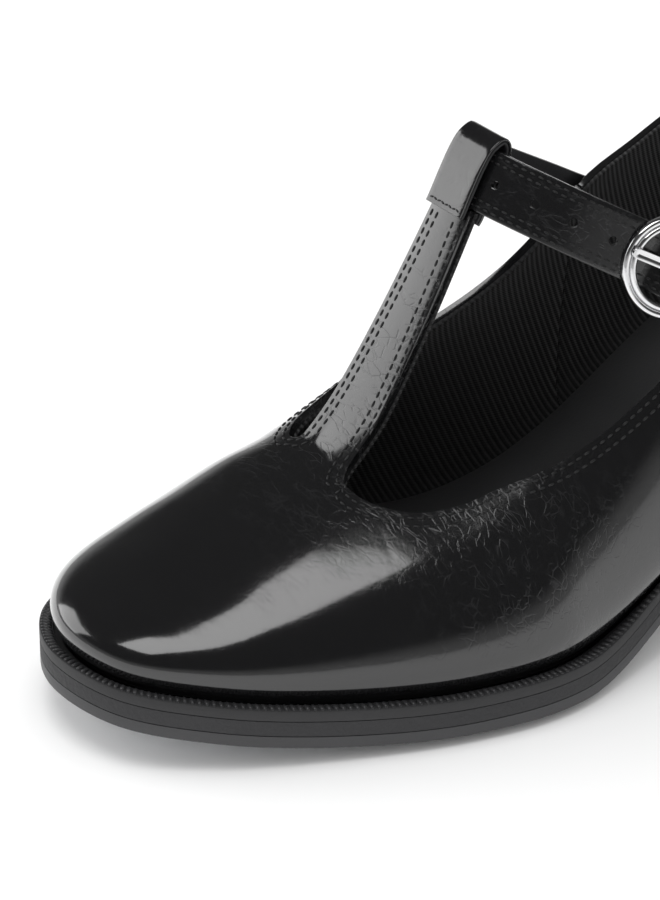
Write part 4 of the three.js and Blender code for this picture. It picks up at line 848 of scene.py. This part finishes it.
def vampSheet(name, depth, values, footDrop):
    fore = throatU * (np.arange(values["forepart"] + 1) / values["forepart"]) ** 0.9
    wing = uAt(mix(last["throat"], last["sideSeam"], (np.arange(1, values["wing"] + 1) / values["wing"]) ** 1.35))
    low, cap = {}, {}
    for side in (-1, 1):
        us = np.concatenate([fore, wing])
        tops = np.concatenate([crestRise(side, fore), toplineRise(side, wing)])
        low[side] = columnPoints(side, us, tops, depth, values["rows"], footDrop)
        shares = np.arange(values["capColumns"] + 1) / values["capColumns"]
        u = np.broadcast_to(fore[:, None], (len(fore), len(shares)))
        rises = capRise(side, u, shares[None, :])
        cap[side] = skin(side, u, rises, np.broadcast_to(depth(u, 1.0), u.shape))
    riseRow = throatRow(values["capColumns"])
    throatDepth = float(np.asarray(depth(np.array(throatU), 1.0)))
    distances = barLength * (np.arange(1, values["barRows"] + 1) / values["barRows"]) ** 1.5
    bar = [np.array([skin(side, throatU, rise, throatDepth) for side, rise in riseRow])]
    bar += [barRowPoints(distance, riseRow, throatDepth) for distance in distances]
    lowAll = np.concatenate([low[-1][::-1], low[1][1:]])
    capAll = np.concatenate([cap[-1][::-1], cap[1][1:]])
    piece = joinPieces(name, [gridPiece("low", lowAll), gridPiece("cap", capAll), gridPiece("bar", np.array(bar))])
    faceOutwards(piece, shoeInside)
    return piece


def quarterSheet(name, side, depth, values, footDrop):
    us = mix(float(uAt(last["sideSeam"])) + last["clearance"] / sideLines[1][3], 1.0,
             1 - (1 - np.arange(values["quarter"] + 1) / values["quarter"]) ** 1.2)
    points = columnPoints(side, us, toplineRise(side, us), depth, values["rows"], footDrop)
    points[-1, :, 0] = side * last["clearance"] * 0.5
    piece = gridPiece(name, points)
    weld(piece)
    faceOutwards(piece, shoeInside)
    return piece


def noDepth(u, share):
    return np.zeros_like(np.asarray(u, float))


def stiffened(u):
    station = spineStation(u)
    return np.maximum(smooth((66 - station) / 14), smooth((station - 198) / 16))


# The lining comes out to meet the upper along the topline.
def liningDepth(u, share):
    inner = last["stiffener"] + last["seatGap"]
    return last["upper"] + last["liningGap"] + stiffened(u) * inner * (1 - smooth((share - 0.8) / 0.17))


upper = vampSheet("vampAndBar", noDepth, sheetSet, 1.2)
applyModifier(upper, "SUBSURF", levels=1, render_levels=1, boundary_smooth="PRESERVE_CORNERS")
upperSurface = BVHTree.FromObject(upper, bpy.context.evaluated_depsgraph_get())
thicken(upper, sheetSet["shell"], sheetSet["rim"])
finish(upper, upperMaterial, ["vamp"])
quarters = {}
for word, side in (("Outer", 1), ("Inner", -1)):
    node = "lateral" if side > 0 else "medial"
    quarter = quarterSheet("quarter" + word, side, noDepth, sheetSet, 1.2)
    quarters[side] = BVHTree.FromObject(quarter, bpy.context.evaluated_depsgraph_get())
    thicken(quarter, sheetSet["shell"], sheetSet["rim"])
    finish(quarter, upperMaterial, ["quarter_" + node])
    quarterLining = quarterSheet("quarterLining" + word, side, liningDepth, sheetSet, 0.3)
    thicken(quarterLining, last["lining"], 0.25, 2)
    finish(quarterLining, liningMaterial, ["quarter_lining_" + node])
vampLining = vampSheet("vampLining", liningDepth, sheetSet, 0.3)
thicken(vampLining, last["lining"], 0.25, 2)
finish(vampLining, liningMaterial, ["vamp_lining"])
print("upper and linings made")


# The sole and the heel.
soleSet = {"rows": 150, "columns": 6, "edge": 0.32, "grooveFrom": 3.1, "grooveDepth": 1.1,
           "ribPitch": 1.6, "ribHalf": 1.4, "ribWide": 0.56, "ribHigh": 0.58, "ribAt": 1.62, "ribLean": 14.0}


# A closed slab between two levels, following the outline from one share to another.
def slabPiece(name, fromU, toU, insets, levels, values, bevel=True, columns=None):
    rows, columns = values["rows"], columns or values["columns"]
    us = np.linspace(fromU, toU, rows + 1)
    sheets = []
    for inset, level in zip(insets, levels):
        left, right = (np.stack(edgeAt(side, us, inset(side, us)), -1) for side in (-1, 1))
        share = (np.arange(columns + 1) / columns)[None, :, None]
        flat = left[:, None] * (1 - share) + right[:, None] * share
        sheets.append(np.concatenate([flat, level(flat[..., 1])[..., None]], -1))
    piece = boxPiece(name, *sheets)
    if bevel:
        roundEdges(piece, values["edge"])
    return piece


def flush(side, u):
    return np.zeros_like(u)


def liningInset(side, u):
    return weltWidthAt(edgeAt(side, u)[1]) + wallDepth


def level(offset):
    return lambda y: soleUnder(y) + offset


def deckLevelAt(offset):
    return lambda y: deckAt(y) + offset


outsolePiece = slabPiece("outsoleEdge", 0, 1, (flush, flush), (level(last["outsole"]), level(0)), soleSet)
finish(outsolePiece, edgeMaterial, ["outsole"])
midPiece = slabPiece("midsoleLayer", 0, 1, (flush, flush), (level(midsoleLevel + last["midsole"]),
    level(midsoleLevel)), soleSet)
finish(midPiece, midMaterial, ["midsole"])
sockPiece = slabPiece("sockLiner", 0, 1, (liningInset, liningInset), (deckLevelAt(sockTop), deckLevelAt(sockBottom)),
    soleSet)
finish(sockPiece, sockMaterial, ["sock_liner"])


# The welt: a flat shelf with a groove against the upper.
def weltPiece(name, values):
    us = np.concatenate([np.linspace(0, 1, 241), np.linspace(1, 0, 241)[1:]])
    sides = np.array([1] * 241 + [-1] * 240)
    profile = [(0.0, -last["welt"], 0), (0.0, -0.4, 0), (0.14, -0.12, 0), (0.45, 0.0, 0), (1.0, 0.0, 0), (0.0, 0.0, 1),
               (0.15, -0.25, 1), (0.2, -values["grooveDepth"], 1), (0.0, -values["grooveDepth"], 2), (0.0,
               -last["welt"], 2)]
    columns = []
    for inset, height, base in profile:
        points = np.zeros((len(us), 3))
        for side in (1, -1):
            pick = sides == side
            width = weltWidthAt(edgeAt(side, us[pick])[1])
            start = (0.0, width * values["grooveFrom"] / last["weltWidth"], width - last["clearance"])[base]
            x, y = edgeAt(side, us[pick], start + inset)
            points[pick] = np.stack([x, y, deckAt(y) + height], -1)
        columns.append(points)
    columns.append(columns[0])
    piece = gridPiece(name, np.stack(columns, 1))
    weld(piece)
    return piece


finish(weltPiece("weltShelf", soleSet), grooveMaterial, ["welt"], angle=30)


# One small form copied along frames: origin, three axes and three half sizes each.
def repeatForm(name, form, origins, axes, halves):
    vertices, faces = form
    count = len(origins)
    local = vertices[None] * halves[:, None, :]
    placed = np.einsum("nvk,nkj->nvj", local, axes) + origins[:, None, :]
    mesh = bpy.data.meshes.new(name)
    offset = (np.arange(count) * len(vertices))[:, None]
    polygons = [tuple(int(v) + int(o) for v in face) for o in offset[:, 0] for face in faces]
    mesh.from_pydata(((placed.reshape(-1, 3) + shift) * mm).tolist(), [], polygons)
    piece = bpy.data.objects.new(name, mesh)
    bpy.context.scene.collection.objects.link(piece)
    return piece


def makeForm(segments, rings, squareness=1.0):
    deselectAll()
    bpy.ops.mesh.primitive_uv_sphere_add(segments=segments, ring_count=rings, radius=1)
    ball = bpy.context.object
    vertices = np.array([v.co[:] for v in ball.data.vertices])
    vertices = np.sign(vertices) * np.abs(vertices) ** squareness
    faces = [tuple(p.vertices) for p in ball.data.polygons]
    bpy.data.objects.remove(ball)
    return vertices, faces


stitchForm = makeForm(8, 5, 0.8)


def weltRibs(name, values):
    origins, axes, halves = [], [], []
    for side in (1, -1):
        total = sideLines[side][3]
        us = (np.arange(int(total / values["ribPitch"])) + 0.5) * values["ribPitch"] / total
        width = weltWidthAt(edgeAt(side, us)[1]) / last["weltWidth"]
        x, y = edgeAt(side, us, values["ribAt"] * width)
        ox, oy = edgeAt(side, us, 0)
        inward = unit(np.stack([x - ox, y - oy, np.zeros_like(x)], -1))
        turn = math.radians(values["ribLean"]) * side
        inward = np.stack([inward[:, 0] * math.cos(turn) - inward[:, 1] * math.sin(turn),
                           inward[:, 0] * math.sin(turn) + inward[:, 1] * math.cos(turn), np.zeros_like(x)], -1)
        up = np.tile([0.0, 0, 1], (len(x), 1))
        slopeOf = (deckAt(y + 0.5) - deckAt(y - 0.5))
        inward[:, 2] = inward[:, 1] * slopeOf
        inward = unit(inward)
        across = unit(np.cross(up, inward))
        axes.append(np.stack([inward, across, np.cross(inward, across)], 1))
        origins.append(np.stack([x, y, deckAt(y) - 0.02], -1))
        halves.append(np.stack([values["ribHalf"] * width, np.full_like(x, values["ribWide"]), np.full_like(x,
            values["ribHigh"])], -1))
    return repeatForm(name, stitchForm, *(np.concatenate(v) for v in (origins, axes, halves)))


finish(weltRibs("weltRibs", soleSet), ribMaterial, angle=80)

heelSet = {"rows": 60, "columns": 4, "edge": 0.5, "length": 62.0, "taper": 5.0, "topPiece": 5.0, "inset": 1.0}
middleLine = (edgeAt(1, shareTable)[1] + edgeAt(-1, shareTable)[1]) / 2
breastU = float(np.interp(last["length"] - heelSet["length"], middleLine, shareTable))
topPieceTop = last["tap"] + last["seatGap"] + heelSet["topPiece"]
perMm = heelSet["taper"] / last["heelHeight"]


def insetBy(amount):
    return lambda side, u: np.full_like(u, amount)


heelPiece = slabPiece("heelBlock", breastU, 1,
                      (insetBy(heelSet["inset"]), insetBy(heelSet["inset"] + perMm * (last["heelHeight"] - topPieceTop))),
                      (level(-last["seatGap"]), lambda y: np.full_like(y, topPieceTop + last["seatGap"])), heelSet)
finish(heelPiece, edgeMaterial, ["heel_block"])
topPiece = slabPiece("heelTopPiece", breastU, 1,
                     (insetBy(heelSet["inset"] + heelSet["taper"] - perMm * topPieceTop),
                     insetBy(heelSet["inset"] + heelSet["taper"])),
                     (lambda y: np.full_like(y, topPieceTop), lambda y: np.full_like(y,
                     last["tap"] + last["seatGap"])), heelSet)
finish(topPiece, rubberMaterial, ["heel_top_piece"])
print("sole and heel made")

# The strap, its loop and the buckle.
bandSet = {"rows": 150, "columns": 10, "edge": 0.3, "loopLap": 2.4, "loopDepth": 7.1, "loopWall": 1.5,
    "loopRows": 70, "eyeWidth": 10.0,
           "groove": 0.35, "ringSegments": 72}
bandLow = strapStack / 2


def value(given, *where):
    return given(*where) if callable(given) else given


# A closed band along a flat curve; place3 turns a curve point, its direction, a level and a place across into 3D.
def bandPiece(name, path, span, width, levels, place3, rows, columns, edge, angle=50):
    sheets = []
    for level in levels:
        sheet = []
        for distance in span if isinstance(span, np.ndarray) else np.linspace(*span, rows + 1):
            point, along = path.at(distance), path.along(distance)
            across = value(width, distance) * (0.5 - np.arange(columns + 1) / columns)
            sheet.append([place3(point, along, value(level, distance, place), place) for place in across])
        sheets.append(np.array(sheet))
    piece = boxPiece(name, *sheets)
    if edge:
        roundEdges(piece, edge, angle=angle)
    return piece


# How far the wall leans across the strap's width, on a small table of places.
leanOuts = {side: np.linspace(rootOut[side] - 21, rootOut[side] + 7, 15) for side in (-1, 1)}
leanUps = np.linspace(-7.5, 7.5, 5)
leanTable = {side: np.array([[wallX(side, out, up, 0) - wallX(side, out, 0,
    0) for up in leanUps] for out in leanOuts[side]])
             for side in (-1, 1)}


def leanAt(side, out, up):
    columns = [np.interp(out, leanOuts[side], leanTable[side][:, k]) for k in range(len(leanUps))]
    return float(np.interp(up, leanUps, columns))


def onStrapBand(point, along, level, up):
    side = 1 if point[0] > strapX else -1
    share = float(smooth((rootOut[side] + 7 - point[1]) / 9))
    lean = share * leanAt(side, point[1], up) if share > 0 else 0.0
    return onStrapPlane(point[0] - along[1] * level + lean, point[1] + along[0] * level, up)


# A primitive stood on given axes.
def standing(piece, origin, x, y, z):
    turn = np.eye(4)
    turn[:3, :3] = np.stack([x, y, z], 1)
    turn[:3, 3] = origin
    piece.data.transform(Matrix(turn.tolist()))
    piece.data.transform(Matrix.Diagonal((mm, mm, mm, 1)) @ Matrix.Translation(Vector(shift)))
    return piece


def cylinder(name, radius, depth, vertices=32):
    deselectAll()
    bpy.ops.mesh.primitive_cylinder_add(radius=radius, depth=depth, vertices=vertices)
    piece = bpy.context.object
    piece.name = name
    return piece


def cutAway(piece, cutter):
    applyModifier(piece, "BOOLEAN", object=cutter, operation="DIFFERENCE", solver="EXACT")
    bpy.data.objects.remove(cutter)


def strapAxes(run):
    point, along = strapPath.at(run), strapPath.along(run)
    a = onStrapPlane(*along) - onStrapPlane(0, 0)
    b = onStrapPlane(-along[1], along[0]) - onStrapPlane(0, 0)
    return onStrapPlane(*point), a, b, np.cross(a, b)


holeRuns = [strapPath.nearest(atBuckle(-ringOuter - 2.6,
    strapUnder)) - k * strapSet["holePitch"] for k in range(strapSet["holes"])]
slotRuns = [strapPath.nearest(atBuckle(run, strapLevel(run))) for run in (-2.6, strapSet["barAt"] + 1.9)]


def cutHoles(piece):
    for run in holeRuns:
        origin, a, b, c = strapAxes(run)
        cutAway(piece, standing(cylinder("punch", strapSet["holeDiameter"] / 2, strapStack + 3), origin, c, a, b))
    radius = strapSet["prongWidth"] / 2 + 0.4
    origin, a, b, c = strapAxes(sum(slotRuns) / 2)
    punch = cylinder("punch", radius, strapStack + 6)
    for vertex in punch.data.vertices:
        vertex.co.y += math.copysign((slotRuns[1] - slotRuns[0]) / 2 - radius, vertex.co.y)
    cutAway(piece, standing(punch, origin, c, a, b))


strapEnd = tipSplit - last["clearance"] / 2
face = strapStack / 2 - strapSet["thickness"]
strapPiece = bandPiece("crossStrap", strapPath, (0, strapEnd), strapSet["width"], (strapStack / 2, face), onStrapBand,
                       bandSet["rows"], bandSet["columns"], bandSet["edge"])
cutHoles(strapPiece)
finish(strapPiece, strapMaterial, ["cross_strap"], angle=35)
strapLiningPiece = bandPiece("strapLining", strapPath, (0, strapEnd), strapSet["width"], (face - last["seatGap"],
    -bandLow),
                             onStrapBand, bandSet["rows"], bandSet["columns"], 0.2)
cutHoles(strapLiningPiece)
finish(strapLiningPiece, smoothLining, ["cross_strap_lining"], angle=35)


def roundedWidth(full, end):
    def widthAt(distance):
        short = max(0.0, full / 2 - (end - distance))
        return max(0.8, 2 * math.sqrt(max(0.0, (full / 2) ** 2 - short ** 2)))
    return widthAt


tipStart = tipSplit + last["clearance"] / 2
tipSpan = strapTotal - (strapTotal - tipStart) * (1 - np.arange(41) / 40) ** 1.6
tipPiece = bandPiece("strapTip", strapPath, tipSpan, roundedWidth(strapSet["width"], strapTotal), (bandLow, -bandLow),
                     onStrapBand, 40, bandSet["columns"], 0.3)
finish(tipPiece, strapMaterial, ["strap_tip"], "free_strap_end", 35)

# The loop that the T-bar's end holds.
loopHalf = bandSet["loopWall"] / 2
throatStiffener = float(stiffened(throatU)) * (last["stiffener"] + last["seatGap"])
barStackDepth = last["upper"] + last["liningGap"] + throatStiffener + last["lining"]
frontLeg, backLeg = last["clearance"] + loopHalf, -barStackDepth - 0.5 - last["clearance"] - loopHalf
loopFront = 2.15 - loopHalf
loopBack = loopFront + bandSet["loopWall"] - bandSet["loopDepth"]
loopTop = strapSet["width"] + 3.8 - loopHalf
loopPath = flatCurve([
    (frontLeg, -bandSet["loopLap"]), (frontLeg, -0.5), (mix(frontLeg, loopFront, 0.8), loopTop * 0.33), (loopFront,
    loopTop * 0.57),
    (loopFront - 0.4, loopTop * 0.8), (loopFront - 1.7, loopTop * 0.95), (mix(loopFront, loopBack, 0.52), loopTop),
    (loopBack + 1.1, loopTop * 0.95), (loopBack + 0.1, loopTop * 0.8), (loopBack, loopTop * 0.5),
    (mix(loopBack, backLeg, 0.25), loopTop * 0.14), (backLeg - 0.2, -0.6), (backLeg, -bandSet["loopLap"])])


# Outward is to the left of a path that runs up the front, over and down the back.
def onLoopBand(point, along, level, x):
    out, up = point[0] + along[1] * level, point[1] - along[0] * level
    return barEnd + barOut * out + barUp * up + np.array([x, 0.0, 0.0])


for word, high, low, material, slot in (("loopOuter", loopHalf, -0.05, barMaterial, "patent_leather"), ("loopInner",
    -0.1, -loopHalf, smoothLining, None)):
    band = bandPiece(word, loopPath, (0, loopPath.length), tBar["width"], (high, low), onLoopBand,
        bandSet["loopRows"], 8, 0.25)
    finish(band, material, ["strap_loop"] if slot else (), angle=35)


# A closed section of radius and height, turned round an axis.
def turned(name, section, origin, a, b, c, segments):
    turns = np.linspace(0, 2 * math.pi, segments + 1)
    section = np.array(list(section) + [section[0]])
    radial = np.cos(turns)[:, None, None] * a + np.sin(turns)[:, None, None] * b
    piece = gridPiece(name, origin + radial * section[None, :, :1] + c * section[None, :, 1:])
    weld(piece)
    deselectAll()
    choose(piece)
    bpy.ops.object.mode_set(mode="EDIT")
    bpy.ops.mesh.select_all(action="SELECT")
    bpy.ops.mesh.normals_make_consistent(inside=False)
    bpy.ops.object.mode_set(mode="OBJECT")
    return piece


runAxis = onStrapPlane(*buckleRun) - onStrapPlane(0, 0)
outAxis = onStrapPlane(*buckleOut) - onStrapPlane(0, 0)
widthAxis = np.cross(runAxis, outAxis)
ringMiddle = onStrapPlane(*buckleCentre)
ridge = (ringOuter - ringInner) / 4


def ringSection():
    arc = np.linspace(0, math.pi, 10)
    points = [(ringInner, -0.75), (ringInner + 0.35, -1.1), (ringInner + 0.9, -halfThick), (ringOuter - 0.9,
        -halfThick),
              (ringOuter - 0.35, -1.1), (ringOuter, -0.75)]
    for centre in (ringOuter - ridge, ringInner + ridge):
        points += [(centre + ridge * math.cos(t), halfThick - ridge + ridge * math.sin(t)) for t in arc]
    return points


ringPiece = turned("buckleRing", ringSection(), ringMiddle, runAxis, widthAxis, outAxis, bandSet["ringSegments"])
barCentreFlat = atBuckle(strapSet["barAt"], strapSet["barLevel"])
barMiddle = onStrapPlane(*barCentreFlat)
barReach = 2 * (math.sqrt(ringInner ** 2 - strapSet["barAt"] ** 2) + strapSet["ringBand"] * 0.4)
barPiece = standing(cylinder("buckleBar", strapSet["bar"] / 2, barReach, 24), barMiddle, outAxis, runAxis, widthAxis)
finish(joinPieces("buckleFrame", [ringPiece, barPiece], 0), metalMaterial, ["buckle_frame"],
    angle=35)

restLevel = halfThick + last["clearance"] + strapSet["prongThick"] / 2
prongPath = flatCurve([
    atBuckle(strapSet["barAt"] - 0.8, strapSet["barLevel"] + eyeInner + 0.3), atBuckle(0, 1.2), atBuckle(-4.5, 1.75),
    atBuckle(-ringInner, restLevel), atBuckle(0.8 - ringOuter, restLevel + 0.05)])
prongHalf = strapSet["prongThick"] / 2
prongSpan = prongPath.length * (1 - (1 - np.arange(61) / 60) ** 1.5)


# The tongue's path runs backwards along the buckle, so its outer face is on the other hand.
def onProngBand(point, along, level, up):
    return onStrapPlane(point[0] + along[1] * level, point[1] - along[0] * level, up)


def grooved(distance, place):
    fade = float(smooth((prongPath.length - 0.7 - distance) / 0.8))
    return prongHalf - bandSet["groove"] * math.exp(-(place / 0.38) ** 2) * fade


tongue = bandPiece("tongue", prongPath, prongSpan, roundedWidth(strapSet["prongWidth"], prongPath.length), (grooved,
    -prongHalf),
                   onProngBand, 60, 12, 0.22, 60)


def eyePiece(name, inner, outer, low, high):
    round = 0.25
    section = [(inner, low + round), (inner + round, low), (outer - round, low), (outer, low + round),
               (outer, high - round), (outer - round, high), (inner + round, high), (inner, high - round)]
    return turned(name, section, barMiddle, runAxis, outAxis, widthAxis, 32)


prongEye = eyePiece("prongEye", eyeInner, eyeOuter + 0.1, -strapSet["prongWidth"] / 2, strapSet["prongWidth"] / 2)
finish(joinPieces("buckleProng", [tongue, prongEye], 0), metalMaterial, ["buckle_prong"], "prong", 35)

chapePath = flatCurve([atBuckle(strapSet["barAt"], chapeLevel), atBuckle(8, chapeLevel), atBuckle(11.5, chapeLevel),
                       *(onWall(1, rootOut[1] + beyond,
                       last["clearance"] + strapSet["chape"] / 2 + 0.1) for beyond in (-1, -6, -12, -18))])
chapeHalf = strapSet["chape"] / 2
chapeTab = bandPiece("chapeTab", chapePath, (eyeOuter + 0.3, chapePath.length), strapSet["width"] - 1, (chapeHalf,
    -chapeHalf),
                     onStrapBand, 50, 8, 0.3)
gap = strapSet["prongWidth"] / 2 + last["clearance"]
ears = [eyePiece("ear", eyeInner, eyeOuter, *sorted((hand * gap, hand * bandSet["eyeWidth"] / 2))) for hand in (-1, 1)]


def onEar(point, along, level, up):
    return onStrapPlane(point[0] - along[1] * level, point[1] + along[0] * level, up)


legs = []
for hand in (-1, 1):
    middle = hand * (gap + bandSet["eyeWidth"] / 2) / 2
    legs.append(bandPiece("ear", chapePath, (0.0, eyeOuter + 0.8), bandSet["eyeWidth"] / 2 - gap, (0.45 - chapeHalf,
        -chapeHalf),
                          lambda point, along, level, up, middle=middle: onEar(point, along, level, up + middle), 6,
                          4, 0.15))
finish(joinPieces("buckleChape", [chapeTab, *ears, *legs], 0), strapMaterial, ["buckle_chape"],
    angle=35)


# The strip down the back seam.
def backStrip(values):
    us = mix(float(uAt(last["sideSeam"])) + last["clearance"] / sideLines[1][3], 1.0,
             1 - (1 - np.arange(values["quarter"] + 1) / values["quarter"]) ** 1.2)[-3:]
    sheets = []
    for depth in (-last["clearance"] - 1, -last["clearance"]):
        columns = []
        for side in (-1, 1):
            shares = (np.arange(3, values["rows"] + 1) / values["rows"]) ** 1.2
            u = np.broadcast_to(us[:, None], (len(us), len(shares)))
            rise = toplineRise(side, us)[:, None] * shares[None, :]
            points = skin(side, u, rise, np.full_like(u, depth))
            columns += list(points) if side < 0 else list(points[::-1][1:])
        sheets.append(np.array(columns))
    piece = boxPiece("backStrip", *sheets)
    roundEdges(piece, 0.3)
    return piece


finish(backStrip(sheetSet), upperMaterial, ["back_strip"], angle=35)
print("strap and buckle made")


# The stitches.
stitchSet = {"pitch": 2.3, "half": (0.86, 0.3, 0.26), "rows": (1.5, 3.7), "strapRows": (1.2, 2.7), "strapPitch": 2.1,
    "sink": 0.02}


def resample(points, pitch, trim=0.0):
    steps = np.linalg.norm(np.diff(points, axis=0), axis=1)
    lengths = np.concatenate([[0], np.cumsum(steps)])
    count = max(2, int((lengths[-1] - 2 * trim) / pitch))
    goals = trim + (np.arange(count) + 0.5) * (lengths[-1] - 2 * trim) / count
    place = lambda d: np.stack([np.interp(d, lengths, points[:, k]) for k in range(3)], -1)
    return place(goals), unit(place(goals + 0.4) - place(goals - 0.4))


# Moves a line on a surface sideways into the leather, and keeps it on the surface.
def movedIn(points, surface, amount, hand):
    tangents = unit(np.gradient(points, axis=0))
    moved = []
    for point, tangent in zip(points, tangents):
        place, normal = surface.find_nearest(Vector((point + shift) * mm))[:2]
        normal = np.array(normal)
        across = unit(np.cross(normal, tangent)) * hand
        place, normal = surface.find_nearest(Vector((point + across * amount + shift) * mm))[:2]
        moved.append(np.array(place) / mm - shift)
    return np.array(moved)


def surfaceFrames(points, pitch, surface, values, half=None, trim=0.0):
    origins, along = resample(points, pitch, trim)
    normals = []
    for k, origin in enumerate(origins):
        place, normal = surface.find_nearest(Vector((origin + shift) * mm))[:2]
        origins[k] = np.array(place) / mm - shift + np.array(normal) * values["sink"]
        normals.append(np.array(normal))
    normals = np.array(normals)
    across = unit(np.cross(normals, along))
    along = unit(np.cross(across, normals))
    halves = np.tile(half or values["half"], (len(origins), 1))
    return origins, np.stack([along, across, normals], 1), halves


def gather(name, runs, material, body="shoe"):
    origins, axes, halves = (np.concatenate([run[k] for run in runs]) for k in range(3))
    finish(repeatForm(name, stitchForm, origins, axes, halves), material, body=body, angle=80)


barEnds = [(-1, float(capRise(-1, throatU, 0.0))), (1, float(capRise(1, throatU, 0.0)))]
seam = float(uAt(last["sideSeam"]))
for side in (-1, 1):
    pick = 0 if side < 0 else -1
    barEdge = [barRowPoints(distance, barEnds, 0.0)[pick] for distance in np.linspace(barLength - 2.6, 0.0, 160)]
    wingUs = np.linspace(throatU, seam, 400)[1:]
    wingTop = wallPoint(side, wingUs, toplineRise(side, wingUs))
    line = np.concatenate([barEdge, wingTop])
    dense, _ = resample(line, 0.5)
    runs = []
    for amount in stitchSet["rows"]:
        best = max((movedIn(dense, upperSurface, amount, hand) for hand in (-1, 1)),
                   key=lambda moved: float(np.mean(np.linalg.norm(moved - dense, axis=1))))
        runs.append(surfaceFrames(best, stitchSet["pitch"], upperSurface, stitchSet, trim=0.4))
    quarterUs = np.linspace(seam, 1, 300)[1:-1]
    quarterTop, _ = resample(wallPoint(side, quarterUs, toplineRise(side, quarterUs)), 0.6)
    for amount in stitchSet["rows"]:
        best = max((movedIn(quarterTop, quarters[side], amount, hand) for hand in (-1, 1)),
                   key=lambda moved: float(np.mean(np.linalg.norm(moved - quarterTop, axis=1))))
        runs.append(surfaceFrames(best, stitchSet["pitch"], quarters[side], stitchSet, trim=1.0))
    gather("upperStitches" + ("Outer" if side > 0 else "Inner"), runs, threadMaterial)


def strapStitches(start, end, high, values):
    runs = []
    for hand in (-1, 1):
        for inset in values["strapRows"]:
            up = hand * (strapSet["width"] / 2 - inset)
            distances = np.linspace(start, end, 300)
            points = np.array([onStrapBand(strapPath.at(d), strapPath.along(d), high, up) for d in distances])
            origins, along = resample(points, values["strapPitch"], 0.6)
            across = np.tile(barUp, (len(origins), 1))
            normals = unit(np.cross(along, across)) * np.sign(np.cross(along, across) @ barOut)[:, None]
            across = np.cross(normals, along)
            halves = np.tile(values["half"], (len(origins), 1)) * 0.85
            runs.append((origins + normals * values["sink"], np.stack([along, across, normals], 1), halves))
    return runs


gather("strapStitches", strapStitches(1.0, strapEnd - 0.6, strapStack / 2, stitchSet), threadMaterial)
gather("tipStitches", strapStitches(tipStart + 0.6, strapTotal - strapSet["width"] / 2, strapStack / 2, stitchSet),
    threadMaterial, "free_strap_end")

# The seam that holds the loop's front leg.
zigzag = []
for k in range(9):
    x = mix(-5.6, 5.6, k / 8)
    zigzag.append(onLoopBand(loopPath.at(1.2 + 0.35 * (k % 2)), loopPath.along(1.2), loopHalf, x))
zigzag = np.array(zigzag)
zAlong = unit(np.diff(zigzag, axis=0))
zNormal = np.tile(barOut, (8, 1))
zAcross = unit(np.cross(zNormal, zAlong))
gather("loopSeam", [((zigzag[1:] + zigzag[:-1]) / 2, np.stack([zAlong, zAcross, zNormal], 1), np.tile((0.62, 0.24,
    0.22), (8, 1)))], threadMaterial)
print("stitches made")


# The floor and the lights.
lightSet = {"floor": 6.0, "key": {"place": (0.02, -0.27, 0.8), "size": (0.46, 0.42), "power": 2.1, "aim": (0, -0.05,
    0.04)},
            "side": {"place": (-0.85, -0.55, 0.42), "size": (0.7, 0.6), "power": 2.9, "aim": (0, -0.05, 0.05)},
            "sky": 0.07, "wall": 0.55, "fill": 0.95}


def areaLight(name, values):
    place, aim = Vector(values["place"]), Vector(values["aim"])
    bpy.ops.object.light_add(type="AREA", location=place)
    light = bpy.context.object
    light.name = name
    light.data.shape = "RECTANGLE"
    light.data.size, light.data.size_y = values["size"]
    light.data.energy = values["power"]
    light.rotation_mode = "QUATERNION"
    light.rotation_quaternion = (aim - place).to_track_quat("-Z", "Y")


def makeWorld(values):
    world = bpy.data.worlds.new("paleRoom")
    bpy.context.scene.world = world
    world.use_nodes = True
    tree = world.node_tree
    tree.nodes.clear()
    link = tree.links.new
    output = nodeIn(tree, "OutputWorld", (700, 0))
    place = nodeIn(tree, "TexCoord", (-700, 0))
    parts = nodeIn(tree, "SeparateXYZ", (-500, 0), {0: place.outputs["Generated"]})
    height = nodeIn(tree, "MapRange", (-300, 0), {
        "From Min": 0.05, "From Max": 0.32, "To Min": values["wall"], "To Max": values["sky"],
        "Value": parts.outputs["Z"]}, interpolation_type="SMOOTHSTEP")
    room = nodeIn(tree, "Background", (0, -100), {"Strength": height.outputs[0]})
    white = nodeIn(tree, "Background", (0, 100), {"Strength": values["fill"], "Color": (1, 1, 1, 1)})
    ray = nodeIn(tree, "LightPath", (0, 300))
    choice = nodeIn(tree, "MixShader", (400, 0))
    matt = nodeIn(tree, "Math", (200, 300), {
        0: ray.outputs["Is Camera Ray"], 1: ray.outputs["Is Diffuse Ray"]}, operation="MAXIMUM")
    link(matt.outputs[0], choice.inputs[0])
    link(room.outputs[0], choice.inputs[1])
    link(white.outputs[0], choice.inputs[2])
    link(choice.outputs[0], output.inputs["Surface"])


deselectAll()
bpy.ops.mesh.primitive_plane_add(size=lightSet["floor"], location=(0, 0, cadBox[0].z - 0.0003))
floor = bpy.context.object
floor.name = "floorSheet"
bpy.ops.object.transform_apply(location=True, rotation=True, scale=True)
floorMaterial, _, floorShader, _ = newMaterial("paleFloor")
floorShader.inputs["Base Color"].default_value = (0.93, 0.93, 0.93, 1)
setSockets(floorShader, Roughness=0.9)
floor.data.materials.append(floorMaterial)
areaLight("keyLight", lightSet["key"])
areaLight("sideLight", lightSet["side"])
makeWorld(lightSet)
bpy.context.scene.view_settings.view_transform = "Standard"

# The CAD nodes that stay get their finishes.
kept = {"toe_tap": tapMaterial, "heel_tap": tapMaterial, "insole_board": boardMaterial, "bottom_filler": corkMaterial,
        "shank": steelMaterial, "toe_puff": stiffMaterial, "heel_counter": stiffMaterial}
for name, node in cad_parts.items():
    material = steelMaterial if "screw" in name or "nail" in name else kept.get(name)
    if material and not node.hide_render:
        node.data.materials.clear()
        node.data.materials.append(material)
